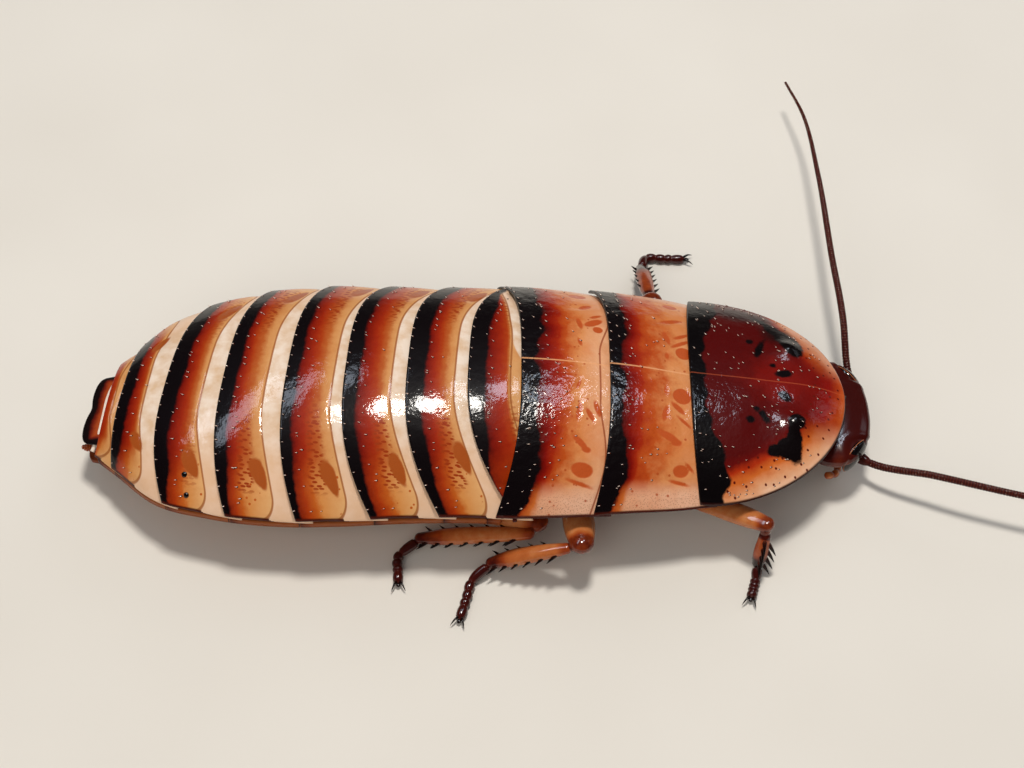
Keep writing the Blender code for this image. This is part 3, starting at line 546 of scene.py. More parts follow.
plateLook = {
    "raise": 0.2, "sink": 0.14,      # hind rim over and front rim under the smooth form
    "dive": 0.15,                    # how far in a corner lies where the plate in front hides it
    "tuck": 1.1, "fall": 0.12,       # how far, and how steeply, each plate runs on under the one in front
    "leastShown": 0.8, "flare": 0.08, "thickness": 0.2, "roll": 0.05,
    "groove": 0.025, "grooveWidth": 0.09,
    "step": 0.035,                   # drop of the cream part past the fine line
    "pillow": 0.07,                  # each plate's own bulge
    "dents": {"scarGap": (0.05, 0.12), "ovalGap": (0.04, 0.15)},    # depth and reach
    "cornerRadius": 1.2,             # turn of the line towards the hind corner
    "rows": 60, "columns": 241,
}
# per plate: width of the black band, end of the red and place of the line, in mm from the hind margin
plateBands = {
    "mesonotum": (0.85, 2.3, 8.0), "metanotum": (1.1, 2.9, 5.36),
    "abdomen_1": (0.97, 2.64, 2.85), "abdomen_2": (1.0, 2.16, 3.24), "abdomen_3": (0.8, 2.2, 3.2),
    "abdomen_4": (0.68, 1.95, 3.27), "abdomen_5": (0.8, 1.75, 3.1), "abdomen_6": (1.0, 2.15, 2.9),
    "abdomen_7": (0.73, 1.6, 1.9), "abdomen_8": (-0.4, 0.35, 0.5),
}
# oval spot of each abdomen plate: body x, distance from the midline, and size
ovalSpots = {
    "abdomen_2": (-0.7, 7.1, 0.95), "abdomen_3": (-5.05, 7.75, 0.95), "abdomen_4": (-9.6, 8.2, 1.0),
    "abdomen_5": (-14.45, 7.7, 1.0), "abdomen_6": (-19.2, 6.5, 1.0), "abdomen_7": (-23.25, 4.1, 0.75),
}
fleckAmount = {"abdomen_1": 0.7, "abdomen_6": 0.4, "abdomen_7": 0.0, "abdomen_8": 0.0}
ovalSize = {"long": 1.1, "wide": 0.42, "turn": 33, "taper": 0.3}    # its outer end lies further forward
# scars of the muscles on the two wing-bearing plates: centre x and y, half-length, half-width, turn
muscleScars = {
    "mesonotum": ((13.83, 5.1, 0.8, 0.2, 21), (13.43, 3.12, 0.6, 0.17, -74), (14.43, 2.78, 0.8, 0.16, 35),
                  (14.5, 3.54, 0.6, 0.16, 33), (14.55, 1.87, 0.55, 0.55, -40), (13.36, 1.4, 0.26, 0.12, -89),
                  (13.13, -1.6, 0.34, 0.12, -92), (14.25, -1.95, 0.62, 0.62, -93),
                  (13.94, -2.95, 0.6, 0.2, -42), (13.04, -3.5, 0.62, 0.19, -103),
                  (14.31, -3.9, 0.6, 0.12, -38), (13.2, -5.1, 0.8, 0.25, -22), (13.75, -5.45, 0.35, 0.2, 10),
                  (13.98, -7.2, 0.52, 0.36, 12), (13.84, -7.9, 0.65, 0.1, -5), (14.6, -6.9, 0.36, 0.1, -43),
                  (13.95, 7.3, 0.5, 0.34, -12)),
    "metanotum": ((7.77, 5.9, 0.5, 0.22, 33), (7.32, 3.77, 0.55, 0.18, -76), (8.3, 4.0, 0.7, 0.3, 32),
                  (8.5, 4.8, 0.4, 0.14, 28), (8.6, 3.3, 0.35, 0.32, 7), (7.31, 1.9, 0.36, 0.13, -74),
                  (7.15, -1.87, 0.36, 0.1, -110), (7.14, -3.85, 0.62, 0.16, -101),
                  (7.9, -4.1, 0.5, 0.16, -60), (8.4, -3.6, 0.62, 0.2, -72), (7.2, -6.0, 0.6, 0.2, -40),
                  (7.6, -6.4, 0.3, 0.18, -10),
                  (7.28, -7.6, 0.72, 0.42, -1), (7.1, -8.35, 0.75, 0.1, -11), (7.3, 7.7, 0.6, 0.38, 5)),
}


def ellipseGap(x, y, spots, taper=0.0):
    # least of (length of the offset in half-sizes - 1) x smaller half-size over all the spots; with
    # taper the far end of the long axis is narrower
    gap = np.full(np.shape(x), 9.0)
    for centreX, centreY, halfLong, halfWide, degrees in spots:
        c, s = math.cos(math.radians(degrees)), math.sin(math.radians(degrees))
        along, across = (x - centreX) * c + (y - centreY) * s, (y - centreY) * c - (x - centreX) * s
        narrowing = 1 - taper * np.clip(along / halfLong, -1, 1)
        reach = np.sqrt((along / halfLong) ** 2 + (across / (halfWide * narrowing)) ** 2)
        gap = np.minimum(gap, (reach - 1) * min(halfLong, halfWide))
    return gap


def plateBandMarks(name, d, s, x, y, width):
    # distances from each boundary of the pattern, d being the distance from the hind margin; waves and
    # widenings are in mm or shares of the half-width
    black, red, line = plateBands[name]
    isNotum = name in muscleScars
    side = np.abs(s)
    sideGap = (1 - side) * width
    radius = plateLook["cornerRadius"]
    if isNotum:     # here the line runs straight on to the plate in front
        inCorner = 0 * sideGap
        wave = 0.18 * np.sin(2.1 * y + 1.3) * np.sin(0.9 * y)
        widening = np.maximum(0.35 * smoothStep(0.05, 0.3, s), 0.7 * smoothStep(0.45, 0.85, side))
        widening = widening - 0.5 * smoothStep(0.9, 1.0, side) - 0.3 * bell(y, 0.45)
        line = line + 0.9 * smoothStep(0.1, 0.5, s) + 0.9 * smoothStep(0.3, 0.8, -s)
    else:
        inCorner = np.clip(radius - sideGap, 0, radius)
        wave = 0.05 * np.sin(1.7 * y)
        atCorner = smoothStep(0.5, 0.88, side) if name == "abdomen_1" else 0.45 * smoothStep(0.75, 1.0, side)
        widening = 0.24 * smoothStep(-0.55, -0.05, s) - atCorner
        line = line + 0.5 * smoothStep(0.3, 0.85, side)
    blackEdge = black * (1 + widening) + wave
    redEdge = red + 0.6 * wave - 0.25 * smoothStep(0.6, 1.0, side)
    drop = np.sqrt(np.maximum(radius ** 2 - inCorner ** 2, 0.02))
    lineEdge = line - radius + drop
    if name == "abdomen_1":     # on the left its line keeps the same distance from the plate in front
        room = hindMargin("metanotum", s) - hindMargin(name, s) - 0.75
        lineEdge = lineEdge - smoothStep(0.1, 0.4, s) * np.maximum(lineEdge - room, 0)
        redEdge = np.minimum(redEdge, np.maximum(lineEdge - 0.3, 0.1))
    blackGap, redGap = d - blackEdge, d - redEdge
    lineGap = (d - lineEdge) / np.hypot(1, inCorner / drop)
    share = np.where(redGap < 0, 0.5 * blackGap / np.maximum(redEdge - blackEdge, 0.1),
                     0.5 + 0.5 * redGap / np.maximum(lineEdge - redEdge, 0.2))
    nowhere = np.full(np.shape(x), 9.0)
    marks = {
        "bandShare": share, "blackGap": blackGap, "redGap": redGap, "lineGap": lineGap,
        "creamGap": lineGap, "midGap": np.abs(y), "rimGap": np.where(lineGap > 0.1, 1.0, sideGap),
        "ovalGap": nowhere, "scarGap": nowhere,
        "sideShare": side, "tanShare": smoothStep(0.45, 0.65, share), "amberShare": 0 * side,
        "fleckShare": (fleckAmount.get(name, 1.0) * smoothStep(0.22, 0.5, side)
                       * (1 - smoothStep(0.84, 0.9, side)) * smoothStep(-0.35, -0.1, redGap)
                       * (1 - smoothStep(0.7, 1.0, redGap + 0.6 * (0.7 - side)))),
        "dotShare": (smoothStep(0.6, 0.8, side) * smoothStep(0.0, 0.3, redGap)
                     * (1 - smoothStep(-0.2, 0.0, lineGap))),
    }
    if isNotum:
        lineGap = lineGap if name == "metanotum" else np.full(np.shape(x), -1.0)
        marks.update({
            "lineGap": lineGap, "creamGap": lineGap, "rimGap": sideGap,
            "scarGap": ellipseGap(x, y, muscleScars[name]),
            "amberShare": smoothStep(0.25, 0.5, side) * (1 - smoothStep(0.65, 0.8, side)),
            "fleckShare": 0.6 * smoothStep(0.85, 0.95, side) * smoothStep(0.3, 0.5, share),
            "dotShare": 0.8 * smoothStep(0.3, 0.5, share)})
    elif name == "abdomen_1":       # its cream fades out on the right
        marks["creamGap"] = lineGap - 1.5 * smoothStep(2, -2, y)
    elif name == "abdomen_8":       # no cream at all
        marks["creamGap"] = np.full(np.shape(x), -1.0)
    if name in ovalSpots:
        ovalX, ovalY, grow = ovalSpots[name]
        lean = body["margins"][name][2] / station(ovalX, halfWidth)
        oval = (ovalX + lean * ovalY, ovalY, ovalSize["long"] * grow, ovalSize["wide"] * grow,
                90 - ovalSize["turn"])
        marks["ovalGap"] = ellipseGap(x - lean * y, np.abs(y), [oval], ovalSize["taper"])
    return marks


def plateSurface(name, d, s):
    # x = hind margin + d, y = s x (half-width + flare), z = dome of the back + the lift that laps the
    # plates like tiles + the plate's own bulge, its fine groove, and dents at the scars
    look = plateLook
    gap = hindMargin(plateOrder[plateOrder.index(name) - 1], s) - hindMargin(name, s)
    visible = np.maximum(gap, look["leastShown"])
    u = d / visible
    hidden = smoothStep(0.12, -0.4, gap)
    x = hindMargin(name, s) + d
    width = station(x, halfWidth) + look["flare"] * (1 - 2 * np.minimum(u, 1))
    width = width - look["fall"] * np.maximum(u - 1, 0) - look["dive"] * hidden
    y = s * width
    marks = plateBandMarks(name, d, s, x, y, width)
    lift = (look["raise"] * (1 - u) - look["sink"] * u
            + look["pillow"] * np.sin(math.pi * np.clip(u, 0, 1)))
    lift = np.where(u > 1, -look["sink"] - look["fall"] * (d - visible), lift)
    lift = lift * (1 - hidden) - (look["sink"] + 0.05) * hidden
    edge = station(x, edgeHeight)
    z = edge + (station(x, ridgeHeight) - edge) * dome(s) + lift
    z = z - look["step"] * smoothStep(-0.1, 0.2, marks["lineGap"])
    z = z - look["groove"] * bell(marks["lineGap"], look["grooveWidth"])
    for mark, (depth, reach) in look["dents"].items():
        z = z - depth * np.exp(-np.maximum(marks[mark], 0) / reach)
    return np.stack((x, y, z), -1), marks


def acrossShares(count):
    # shares of the half-width, closer together towards the edges
    turn = np.linspace(-1, 1, count)
    return 0.7 * np.sin(turn * math.pi / 2) + 0.3 * turn


def makePlate(name):
    # the plate's surface from its hind margin to the tuck under the plate in front; one more mark, the
    # running length across, keeps the flecks in step with the plate
    s = acrossShares(plateLook["columns"])[None, :]
    inFront = plateOrder[plateOrder.index(name) - 1]
    reach = hindMargin(inFront, s) - hindMargin(name, s) + plateLook["tuck"]
    t = np.linspace(0, 1, plateLook["rows"])[:, None]
    top, marks = plateSurface(name, t * reach, s * np.ones_like(t))
    steps = np.linalg.norm(np.diff(top, axis=1), axis=-1)
    marks["acrossPlate"] = np.concatenate((np.zeros((len(top), 1)), np.cumsum(steps, axis=1)), axis=1)
    shape, source = shell(top, plateLook["thickness"], plateLook["roll"])
    finish = bandedNotum if name in muscleScars else bandedTergite
    makePiece("plate_" + name, shape, finish, [name], marks, source)


pronotumLook = {
    "front": 26.0, "corner": 16.0, "halfWidth": 9.0, "bluntness": 0.55, "thickness": 0.3, "roll": 0.08,
    "knobs": (22.2, 3.25), "knobSize": 0.85, "knobHeight": 0.42,
    # shallow hollows: centre x, distance from the midline, reach along and across, and depth
    "hollows": ((20.6, 1.6, 1.1, 0.9, 0.12), (19.6, 4.0, 0.9, 1.2, 0.1)),
    "rimGap": 0.12, "rimWidth": 0.16, "rimHeight": 0.07,
    "rows": 110, "columns": 221,
    # black blotches: centre x and y, half-length, half-width, turn
    "blotches": ((22.25, 3.5, 1.15, 0.75, -66), (21.4, 5.3, 0.9, 0.35, -34), (20.04, 3.03, 0.75, 0.2, -113),
                 (19.33, 3.6, 0.25, 0.22, 10), (20.91, 1.54, 0.25, 0.26, 7), (21.61, 0.74, 0.6, 0.34, 7),
                 (21.52, -1.2, 0.6, 0.34, -23), (19.37, -2.5, 0.22, 0.18, 7), (18.96, -3.4, 0.32, 0.22, 6),
                 (19.95, -3.02, 0.55, 0.26, -60), (22.2, -3.3, 0.6, 0.55, 2), (21.9, -4.8, 1.3, 0.6, -92),
                 (21.45, -5.2, 0.8, 0.75, 0), (20.8, -5.35, 0.75, 0.45, 13), (20.3, -5.6, 0.5, 0.25, 10),
                 (22.2, 3.9, 1.3, 0.8, -60), (21.3, 5.2, 0.9, 0.55, -40), (20.4, 6.2, 0.8, 0.3, -30)),
    "hazes": ((19.0, 6.8, 2.4, 1.0, -8), (21.6, 4.6, 1.6, 1.1, -50)),
}


def shieldSurface(u, s):
    # x from the hind margin to the rounded front, y = s x half-width; the back's dome is measured in
    # shares of the outline's own width there, and two knobs, shallow hollows and a rim are added
    look = pronotumLook
    hind = hindMargin("pronotum", s)
    reach = look["front"] - look["corner"]
    bluntness = look["bluntness"]
    x = hind + u * (look["corner"] + reach * (1 - s ** 2) ** bluntness - hind)
    y = s * look["halfWidth"] * np.ones_like(u)
    away = np.abs(y)
    side = away / look["halfWidth"]
    forward = np.clip((x - look["corner"]) / reach, 0, 1)
    outline = forward ** (1 / bluntness)
    local = np.sqrt(np.maximum(1 - outline, 0)) * look["halfWidth"]
    slope = np.hypot(2 * y / look["halfWidth"] ** 2, forward ** (1 / bluntness - 1) / bluntness / reach)
    marginGap = np.maximum(1 - side ** 2 - outline, 0) / np.maximum(slope, 0.05)
    edge = station(x, edgeHeight)
    z = edge + (station(x, ridgeHeight) - edge) * dome(away / np.maximum(local, away + 1e-6))
    z = z + plateLook["raise"] * (1 - u / 2) - plateLook["sink"] * u / 2
    knobX, knobY = look["knobs"]
    z = z + look["knobHeight"] * bell(np.hypot(x - knobX, away - knobY), look["knobSize"])
    for hollowX, hollowY, long, wide, depth in look["hollows"]:
        z = z - depth * bell(x, long, hollowX) * bell(away, wide, hollowY)
    z = z + look["rimHeight"] * bell(marginGap, look["rimWidth"], look["rimGap"])

    blackEdge = 0.95 + 1.05 * smoothStep(0.25, 0.8, side) - 0.4 * smoothStep(0.85, 1.0, side)
    deeper = (0.15 * np.sin(0.9 * y) + 0.8 * smoothStep(20.5, 17.0, x)
              + 3 * smoothStep(3.0, 5.5, y) * smoothStep(22.5, 20.5, x))
    marks = {"bandShare": 0.25 * (marginGap + deeper),      # the ramps run 4 mm in from the margin
             "sideShare": smoothStep(1.5, 4.2, np.abs(y + 0.8)) * (1 - 0.35 * smoothStep(0, 3, y)),
             "poreShare": 1 - smoothStep(2.9, 3.5, marginGap),
             "redShare": bell(x, 2.6, 21.5) * bell(y, 2.2, 0.2),
             "rimGap": marginGap, "midGap": away,
             "blackGap": x - hind - blackEdge - 0.12 * np.sin(3.1 * y),
             "hazeGap": ellipseGap(x, y, look["hazes"]), "blotchGap": ellipseGap(x, y, look["blotches"])}
    return np.stack((x, y, z), -1), marks


def makeShield():
    # the neck shield's surface, its columns closer together towards the sides
    s = np.sin(np.linspace(-1, 1, pronotumLook["columns"]) * math.pi / 2)[None, :]
    u = np.linspace(0, 1, pronotumLook["rows"])[:, None]
    top, marks = shieldSurface(u, s * np.ones_like(u))
    shape, source = shell(top, pronotumLook["thickness"], pronotumLook["roll"])
    makePiece("plate_pronotum", shape, shieldChitin, ["pronotum"], marks, source)


makeShield()
for plateName in plateOrder[1:]:
    makePlate(plateName)
print("back plates made")


# Bristles, their sockets and warts

def coneShape(length, radius, sides):
    # a closed cone: its ring round the origin, its tip along z
    turn = fullTurn(sides)
    ring = np.stack((np.cos(turn) * radius, np.sin(turn) * radius, 0 * turn), -1)
    points = np.concatenate((ring, ((0, 0, length), (0, 0, -0.2 * length))))
    j = np.arange(sides)
    k = (j + 1) % sides
    return points, [np.stack((j, k, np.full(sides, sides)), -1),
                    np.stack((k, j, np.full(sides, sides + 1)), -1)]


bristleLook = {
    "length": 0.22, "radius": 0.036, "spacing": 0.95, "lean": 1.1, "outermost": 0.96,
    "socketRadius": 0.06, "socketHeight": 0.04,
    "onNotum": 36, "onPronotum": 150,       # bristles sown over the whole plate
    "warts": ((2.1, -0.8), (2.0, -0.925)), "wartRadius": 0.2, "wartHeight": 0.12,   # on the sixth ring
}


def surfaceFrame(surface, a, b, step=0.02):
    # points of a surface and their outward normals, from small steps of both parameters
    here = surface(a, b)[0]
    towardsA = surface(a + step, b)[0] - here
    towardsB = surface(a, b + step * 0.1)[0] - here
    return here, unit(np.cross(towardsA, towardsB))


def plantKnobs(name, roots, normals, height, radius, sizes, finish, slot, tint, rings, sides):
    # low round knobs that stand upright on a surface
    knob = ball((0, 0, 0), (0, 0, 1), (1, 0, 0), (height, radius, radius), rings, sides)
    makePiece(name, spread(knob, roots, np.cross((0.0, 1.0, 0.0), normals), normals, sizes),
              finish, (), tint)


def plantBristles(name, surface, a, b, slot):
    # each bristle leans back over the plate, out of a low round socket
    look = bristleLook
    roots, normals = surfaceFrame(surface, a, b)
    lengths = draw.uniform(0.75, 1.25, len(roots))
    lean = unit(normals + (-look["lean"], 0, 0) + draw.uniform(-0.15, 0.15, roots.shape))
    hairs = spread(coneShape(look["length"], look["radius"], 5), roots,
                   np.cross((0.0, 1.0, 0.0), lean), lean, lengths)
    # tint 0.4 puts the bristles in the near-white part of their ramp: a painted highlight for their glints
    makePiece("bristles_" + name, hairs, hairAmberAndPaintedGlint, (), 0.4)
    plantKnobs("sockets_" + name, roots, normals, look["socketHeight"], look["socketRadius"], lengths,
               darkChitin, slot, 0.7, 5, 8)


for plateName in plateOrder[1:-1]:
    black, red = plateBands[plateName][:2]
    width = station(body["margins"][plateName][0], halfWidth)
    outermost = bristleLook["outermost"]
    # a row along the hind rim, a looser one in the red, and a few past it
    shares, gaps = [], []
    for near, far, spacing, loose in ((0.1, 0.2, 1.0, 0.1), (black + 0.3, black + 0.75, 1.15, 0.3),
                                      (black + 0.1, red + 0.3, 2.6, 0.9)):
        inRow = np.arange(-outermost, outermost, bristleLook["spacing"] * spacing / width)
        loosened = inRow + draw.uniform(-loose, loose, len(inRow)) / width
        shares.append(np.clip(loosened, -outermost, outermost))
        gaps.append(draw.uniform(near, far, len(inRow)))
    if plateName in muscleScars:
        shares.append(draw.uniform(-0.95, 0.95, bristleLook["onNotum"]))
        gaps.append(draw.uniform(0.15, 4.2, bristleLook["onNotum"]))
    plantBristles(plateName, lambda d, s: plateSurface(plateName, d, s), np.concatenate(gaps),
                  np.concatenate(shares), "back_plate")
shieldU = draw.uniform(0.03, 0.93, bristleLook["onPronotum"])
shieldS = draw.uniform(-0.97, 0.97, bristleLook["onPronotum"])
plantBristles("pronotum", shieldSurface, shieldU, shieldS, "pronotum")
wartFrame = surfaceFrame(lambda d, s: plateSurface("abdomen_6", d, s), *np.transpose(bristleLook["warts"]))
plantKnobs("warts", *wartFrame, bristleLook["wartHeight"], bristleLook["wartRadius"], 1.0, eyeChitin,
           "back_plate", 0.0, 12, 20)
print("bristles planted")


# Belly and tail

bellyLook = {
    "rimStart": 0.89, "rimDrop": 0.95, "rimDepth": 0.8,     # share across, drop inside it and its depth
    "hindGap": 0.12, "lap": 0.25,       # hind end short of the margin, and front end past the next one
    "sideGap": 0.12, "lidGap": 0.24, "crease": 0.62,
    "rows": 20, "columns": 121,
}


def makeBelly(name):
    # closed slice under one back plate: below, the belly's curve, which stands in under the edge and
    # runs out to a thin rim; above, a flat lid hidden by the plate. Each laps the one behind it.
    look = bellyLook
    s = acrossShares(look["columns"])[None, :]
    t = np.linspace(0, 1, look["rows"])[:, None]
    side = np.abs(s)
    hind = bellyMargin(name, s) + look["hindGap"]
    front = bellyMargin(plateOrder[plateOrder.index(name) - 1], s) + look["lap"]
    x = hind + t * (front - hind)
    y = s * (station(x, halfWidth) - look["sideGap"])
    edge = station(x, edgeHeight)
    base = station(x, bellyHeight) - 0.15 * (1 - t) + 0.06 * t
    curve = base + (edge - look["rimDrop"] - base) * np.minimum(side / look["rimStart"], 1) ** 5
    outer = smoothStep(look["rimStart"] - 0.02, look["rimStart"] + 0.05, side)
    under = curve * (1 - outer) + (edge - look["rimDepth"]) * outer - 0.04 * bell(side, 0.03, look["crease"])
    lid = edge - look["lidGap"] - 0.02 * side
    points = np.concatenate([np.stack((x, y, z), -1).reshape(-1, 3) for z in (lid, under)])
    rim, upper = rimOf(*x.shape), gridFaces(*x.shape)
    faces = [upper, upper[:, ::-1] + x.size, wallFaces(np.stack((rim, rim + x.size)))]
    tint = np.clip(0.9 - 0.8 * np.exp(-t * (front - hind) / 0.5) - 0.25 * smoothStep(0.9, 1.0, side), 0, 1)
    makePiece("belly_" + name, (points, faces), bellyChitin, [name], np.tile(tint.ravel(), 2))


for plateName in plateOrder[3:]:
    makeBelly(plateName)


def tailGrid(front, hind, width, tops, notch, rows, columns):
    # rear outline = front + reach x (sqrt(1 - 0.85 s^6) - notch), top falling from the first height to
    # the second
    s = np.sin(np.linspace(-1, 1, columns) * math.pi / 2)[None, :]
    u = np.linspace(0, 1, rows)[:, None]
    side = front - 0.3
    rear = side + (hind - side) * (np.sqrt(1 - 0.85 * s ** 6) - notch * bell(s, 0.25))
    x = rear + u * (front + 0.6 - rear)
    y = s * width * (0.95 + 0.05 * u)
    z = tops[1] + (tops[0] - tops[1]) * u - 0.15 * s ** 2 + 0.12 * np.sin(math.pi * u) * (1 - s ** 2)
    return np.stack((x, y, z), -1), u + 0 * s, s + 0 * u


tailLook = {
    # front, rear, half-width, heights of the top in front and behind, notch
    "above": (-26.2, -27.35, 3.1, (4.35, 4.0), 0.2), "below": (-26.2, -27.1, 3.1, (2.15, 2.15), 0.0),
    "thickness": {"above": 0.35, "below": 0.5}, "roll": 0.08,
    "hinge": -26.2, "turn": 7.0,    # the whole tail turns a little, its left side forward
    "membrane": ((-26.8, -3.2, 3.4), (-26.38, -2.35, 4.02), (-26.13, -0.65, 4.38), (-26.0, 0.9, 4.4),
                 (-25.75, 2.1, 4.2), (-25.2, 3.3, 3.7)), "membraneRadius": 0.16,
    "cercus": ((-26.3, 2.35, 2.8), (-26.9, 2.5, 2.8), (-27.45, 2.55, 2.85)), "cercusJoints": 7,
    # radius of the cercus at shares of its length
    "cercusRadii": ((0, 0.3, 0.7, 0.95, 1.0), (0.26, 0.34, 0.3, 0.16, 0.05)),
}


def turned(points):
    # turn about the upright line through the hinge
    turn = math.radians(tailLook["turn"])
    behind, y, z = points[..., 0] - tailLook["hinge"], points[..., 1], points[..., 2]
    return np.stack((tailLook["hinge"] + behind * math.cos(turn) + y * math.sin(turn),
                     y * math.cos(turn) - behind * math.sin(turn), z), -1)


tailTop, tailU, tailS = tailGrid(*tailLook["above"], 40, 101)
tailShape, tailSource = shell(turned(tailTop), tailLook["thickness"]["above"], tailLook["roll"])
makePiece("plate_supra_anal", tailShape, tailChitin, ["supra_anal_plate"],
          np.minimum(tailU * 1.1, (1 - np.abs(tailS)) * 2.6), tailSource)
lowTop, lowU, lowS = tailGrid(*tailLook["below"], 24, 61)
lowShape, lowSource = shell(turned(lowTop), tailLook["thickness"]["below"], tailLook["roll"])
makePiece("plate_subgenital", lowShape, bellyChitin, ["subgenital_plate"], 0.25 + 0.5 * lowU,
          lowSource)
# pale membrane that shows as a thin rim between the last ring and the tail plate
rimShape = sweep(routeThrough(tailLook["membrane"], 80), tailLook["membraneRadius"], 12, flat=0.9375)
makePiece("membrane_tail", rimShape, membrane, (), 0.75)

for side, sign in bothSides:
    t = np.linspace(0, 1, 60)
    rings = 1 - 0.16 * np.abs(np.cos(t * math.pi * tailLook["cercusJoints"])) ** 6
    radii = np.interp(t, *tailLook["cercusRadii"]) * rings
    route = turned(routeThrough(tailLook["cercus"], 60) * (1, sign, 1))
    makePiece("cercus_fine_" + side, sweep(route, radii, 16, flat=0.85), legChitin,
              ["cercus_" + side], ringMarks(0.15 + 0.35 * rings ** 4, 16, 0.3, 0.1))
print("belly and tail made")


# Breast

breastLook = {
    "spans": {"prothorax": (17.0, 21.9), "mesothorax": (9.8, 16.85), "metathorax": (3.1, 9.65)},
    "squareness": 0.55, "backGap": 0.42, "width": 0.6, "roundEnd": 0.08, "foldDepth": 0.05,
}


def makeBreast(name):
    # rounded block under the back: superellipse across, wider above than below, with one fold
    look = breastLook
    rear, front = look["spans"][name]
    x = np.linspace(rear, front, 40)[:, None]
    u = (x - rear) / (front - rear)
    turn = fullTurn(72)
    across, upward = (signedPower(wave(turn), look["squareness"]) for wave in (np.cos, np.sin))
    ends = np.clip(np.minimum(u, 1 - u) / look["roundEnd"], 0, 1) ** 0.5
    low = station(x, bellyHeight)
    halfHeight = (station(x, edgeHeight) - look["backGap"] - low) / 2 + 0.02
    width = look["width"] * station(x, halfWidth) * (1 - look["foldDepth"] * bell(u, 0.06, 0.5))
    width = width * (0.75 + 0.25 * ends)
    rings = np.stack((x + 0 * across, width * across * (1 + 0.06 * upward),
                      low + halfHeight + halfHeight * (0.55 + 0.45 * ends) * upward), -1)
    makePiece("breast_" + name, closeRings(rings), bellyChitin, [name],
              ringMarks(0.35 + 0.4 * ends, 72, 0.3, 0.3))


for breastName in breastLook["spans"]:
    makeBreast(breastName)


# Head

headLook = {
    # height, middle, half-length and half-width of each outline, from the mouth up; the last two are
    # the top of the crown
    "levels": np.array((
        (0.55, 25.6, 0.7, 0.8), (1.0, 25.5, 1.2, 1.5), (1.7, 25.35, 1.75, 2.45), (2.4, 25.2, 2.25, 3.45),
        (3.1, 25.15, 2.65, 4.3), (3.65, 25.1, 2.85, 4.55), (4.1, 25.0, 2.6, 4.15), (4.38, 24.9, 1.95, 3.1),
        (4.52, 24.85, 1.2, 1.9), (4.58, 24.8, 0.4, 0.6))),
    "squareness": 0.9,
    "eyeCentre": (26.56, 3.42, 3.35), "eyeLong": (0.64, -0.77, 0.25), "eyeOut": (0.77, 0.64, 0.1),
    "eyeSizes": (1.35, 0.8, 0.5), "eyeBend": 0.22, "rimRadius": 0.03, "eyeRimOut": 0.03,
    "socket": (26.6, 1.95, 1.78),
}


def levelValue(z, column):
    # middle, half-length or half-width of the head at height z
    return smoothCurve(headLook["levels"][:, 0], headLook["levels"][:, column], z)[:, None]


def eyeAxes(sign):
    # centre, and the long, outward and crosswise directions of the left (1) or right (-1) eye
    flip = np.array((1, sign, 1))
    centre, long, out = (np.array(headLook[key]) * flip for key in ("eyeCentre", "eyeLong", "eyeOut"))
    long = unit(long)
    out = unit(out - long * np.dot(out, long))
    across = np.cross(out, long)
    return centre, long, out, across * np.sign(across[2])


def eyeShape(t, turn, sign, grow=0.0):
    # kidney: an ellipsoid at angle t from its end, whose middle is pushed up by bend x (0.35 - along^2)
    centre, long, out, across = eyeAxes(sign)
    sizes = np.array(headLook["eyeSizes"]) + grow
    along = np.cos(t)
    return (centre - long * sizes[0] * along[..., None]
            + np.sin(t)[..., None] * (np.cos(turn)[..., None] * across * sizes[1]
                                      + np.sin(turn)[..., None] * out * sizes[2])
            + across * (headLook["eyeBend"] * (0.35 - along ** 2))[..., None])


def makeHead():
    # outlines of the capsule: x and y follow cos and sin to the power 0.9; dents at each feeler's
    # socket, a groove round each eye, the seam of the face plate and the cleft of the crown
    look = headLook
    crownTurn = np.linspace(0, math.pi / 2, 30)[1:]
    z = np.concatenate((np.linspace(0.55, 4.1, 80), 4.1 + 0.475 * np.sin(crownTurn)))
    turn = fullTurn(160)
    x = levelValue(z, 1) + levelValue(z, 2) * signedPower(np.cos(turn), look["squareness"])
    y = levelValue(z, 3) * signedPower(np.sin(turn), look["squareness"])
    rings = np.stack((x, y, z[:, None] + 0 * x), -1)
    inward = unit(np.array((25.0, 0, 2.6)) - rings)
    cheek = np.zeros(rings.shape[:2])
    for side, sign in bothSides:
        centre, long, out, across = eyeAxes(sign)
        offset = rings - centre
        t = offset @ long / look["eyeSizes"][0]
        reach = np.hypot(t, (offset @ across - look["eyeBend"] * (0.35 - t ** 2)) / look["eyeSizes"][1])
        groove = 0.05 * (bell(reach, 0.1, 1.08) - bell(reach, 0.15, 1.35)) * (offset @ out > -1.0)
        rings = rings + inward * groove[..., None]
        away = np.linalg.norm(rings - np.array(look["socket"]) * (1, sign, 1), axis=-1)
        dent = 0.3 * np.exp(-(away / 0.55) ** 4) - 0.07 * bell(away, 0.15, 0.75)
        rings = rings + inward * dent[..., None]
        cheek = cheek + bell(np.linalg.norm((rings - (25.4, sign * 4.1, 3.1)) / (1.2, 0.9, 1.1), axis=-1), 1)
    x, y, z = np.moveaxis(rings, -1, 0)
    seam = bell(z - 1.35 - 0.12 * y ** 2, 0.07) * smoothStep(26.2, 27.0, x)
    cleft = bell(y, 0.06) * smoothStep(3.2, 3.9, z)
    rings = rings + inward * (0.06 * seam + 0.016 * cleft)[..., None]
    tint = 0.3 + 0.6 * smoothStep(0.8, 3.2, rings[..., 2]) - 0.75 * np.clip(cheek, 0, 1)
    makePiece("head_capsule", closeRings(rings), headChitin, ["head"], ringMarks(tint, 1, 0.3, 0.9))


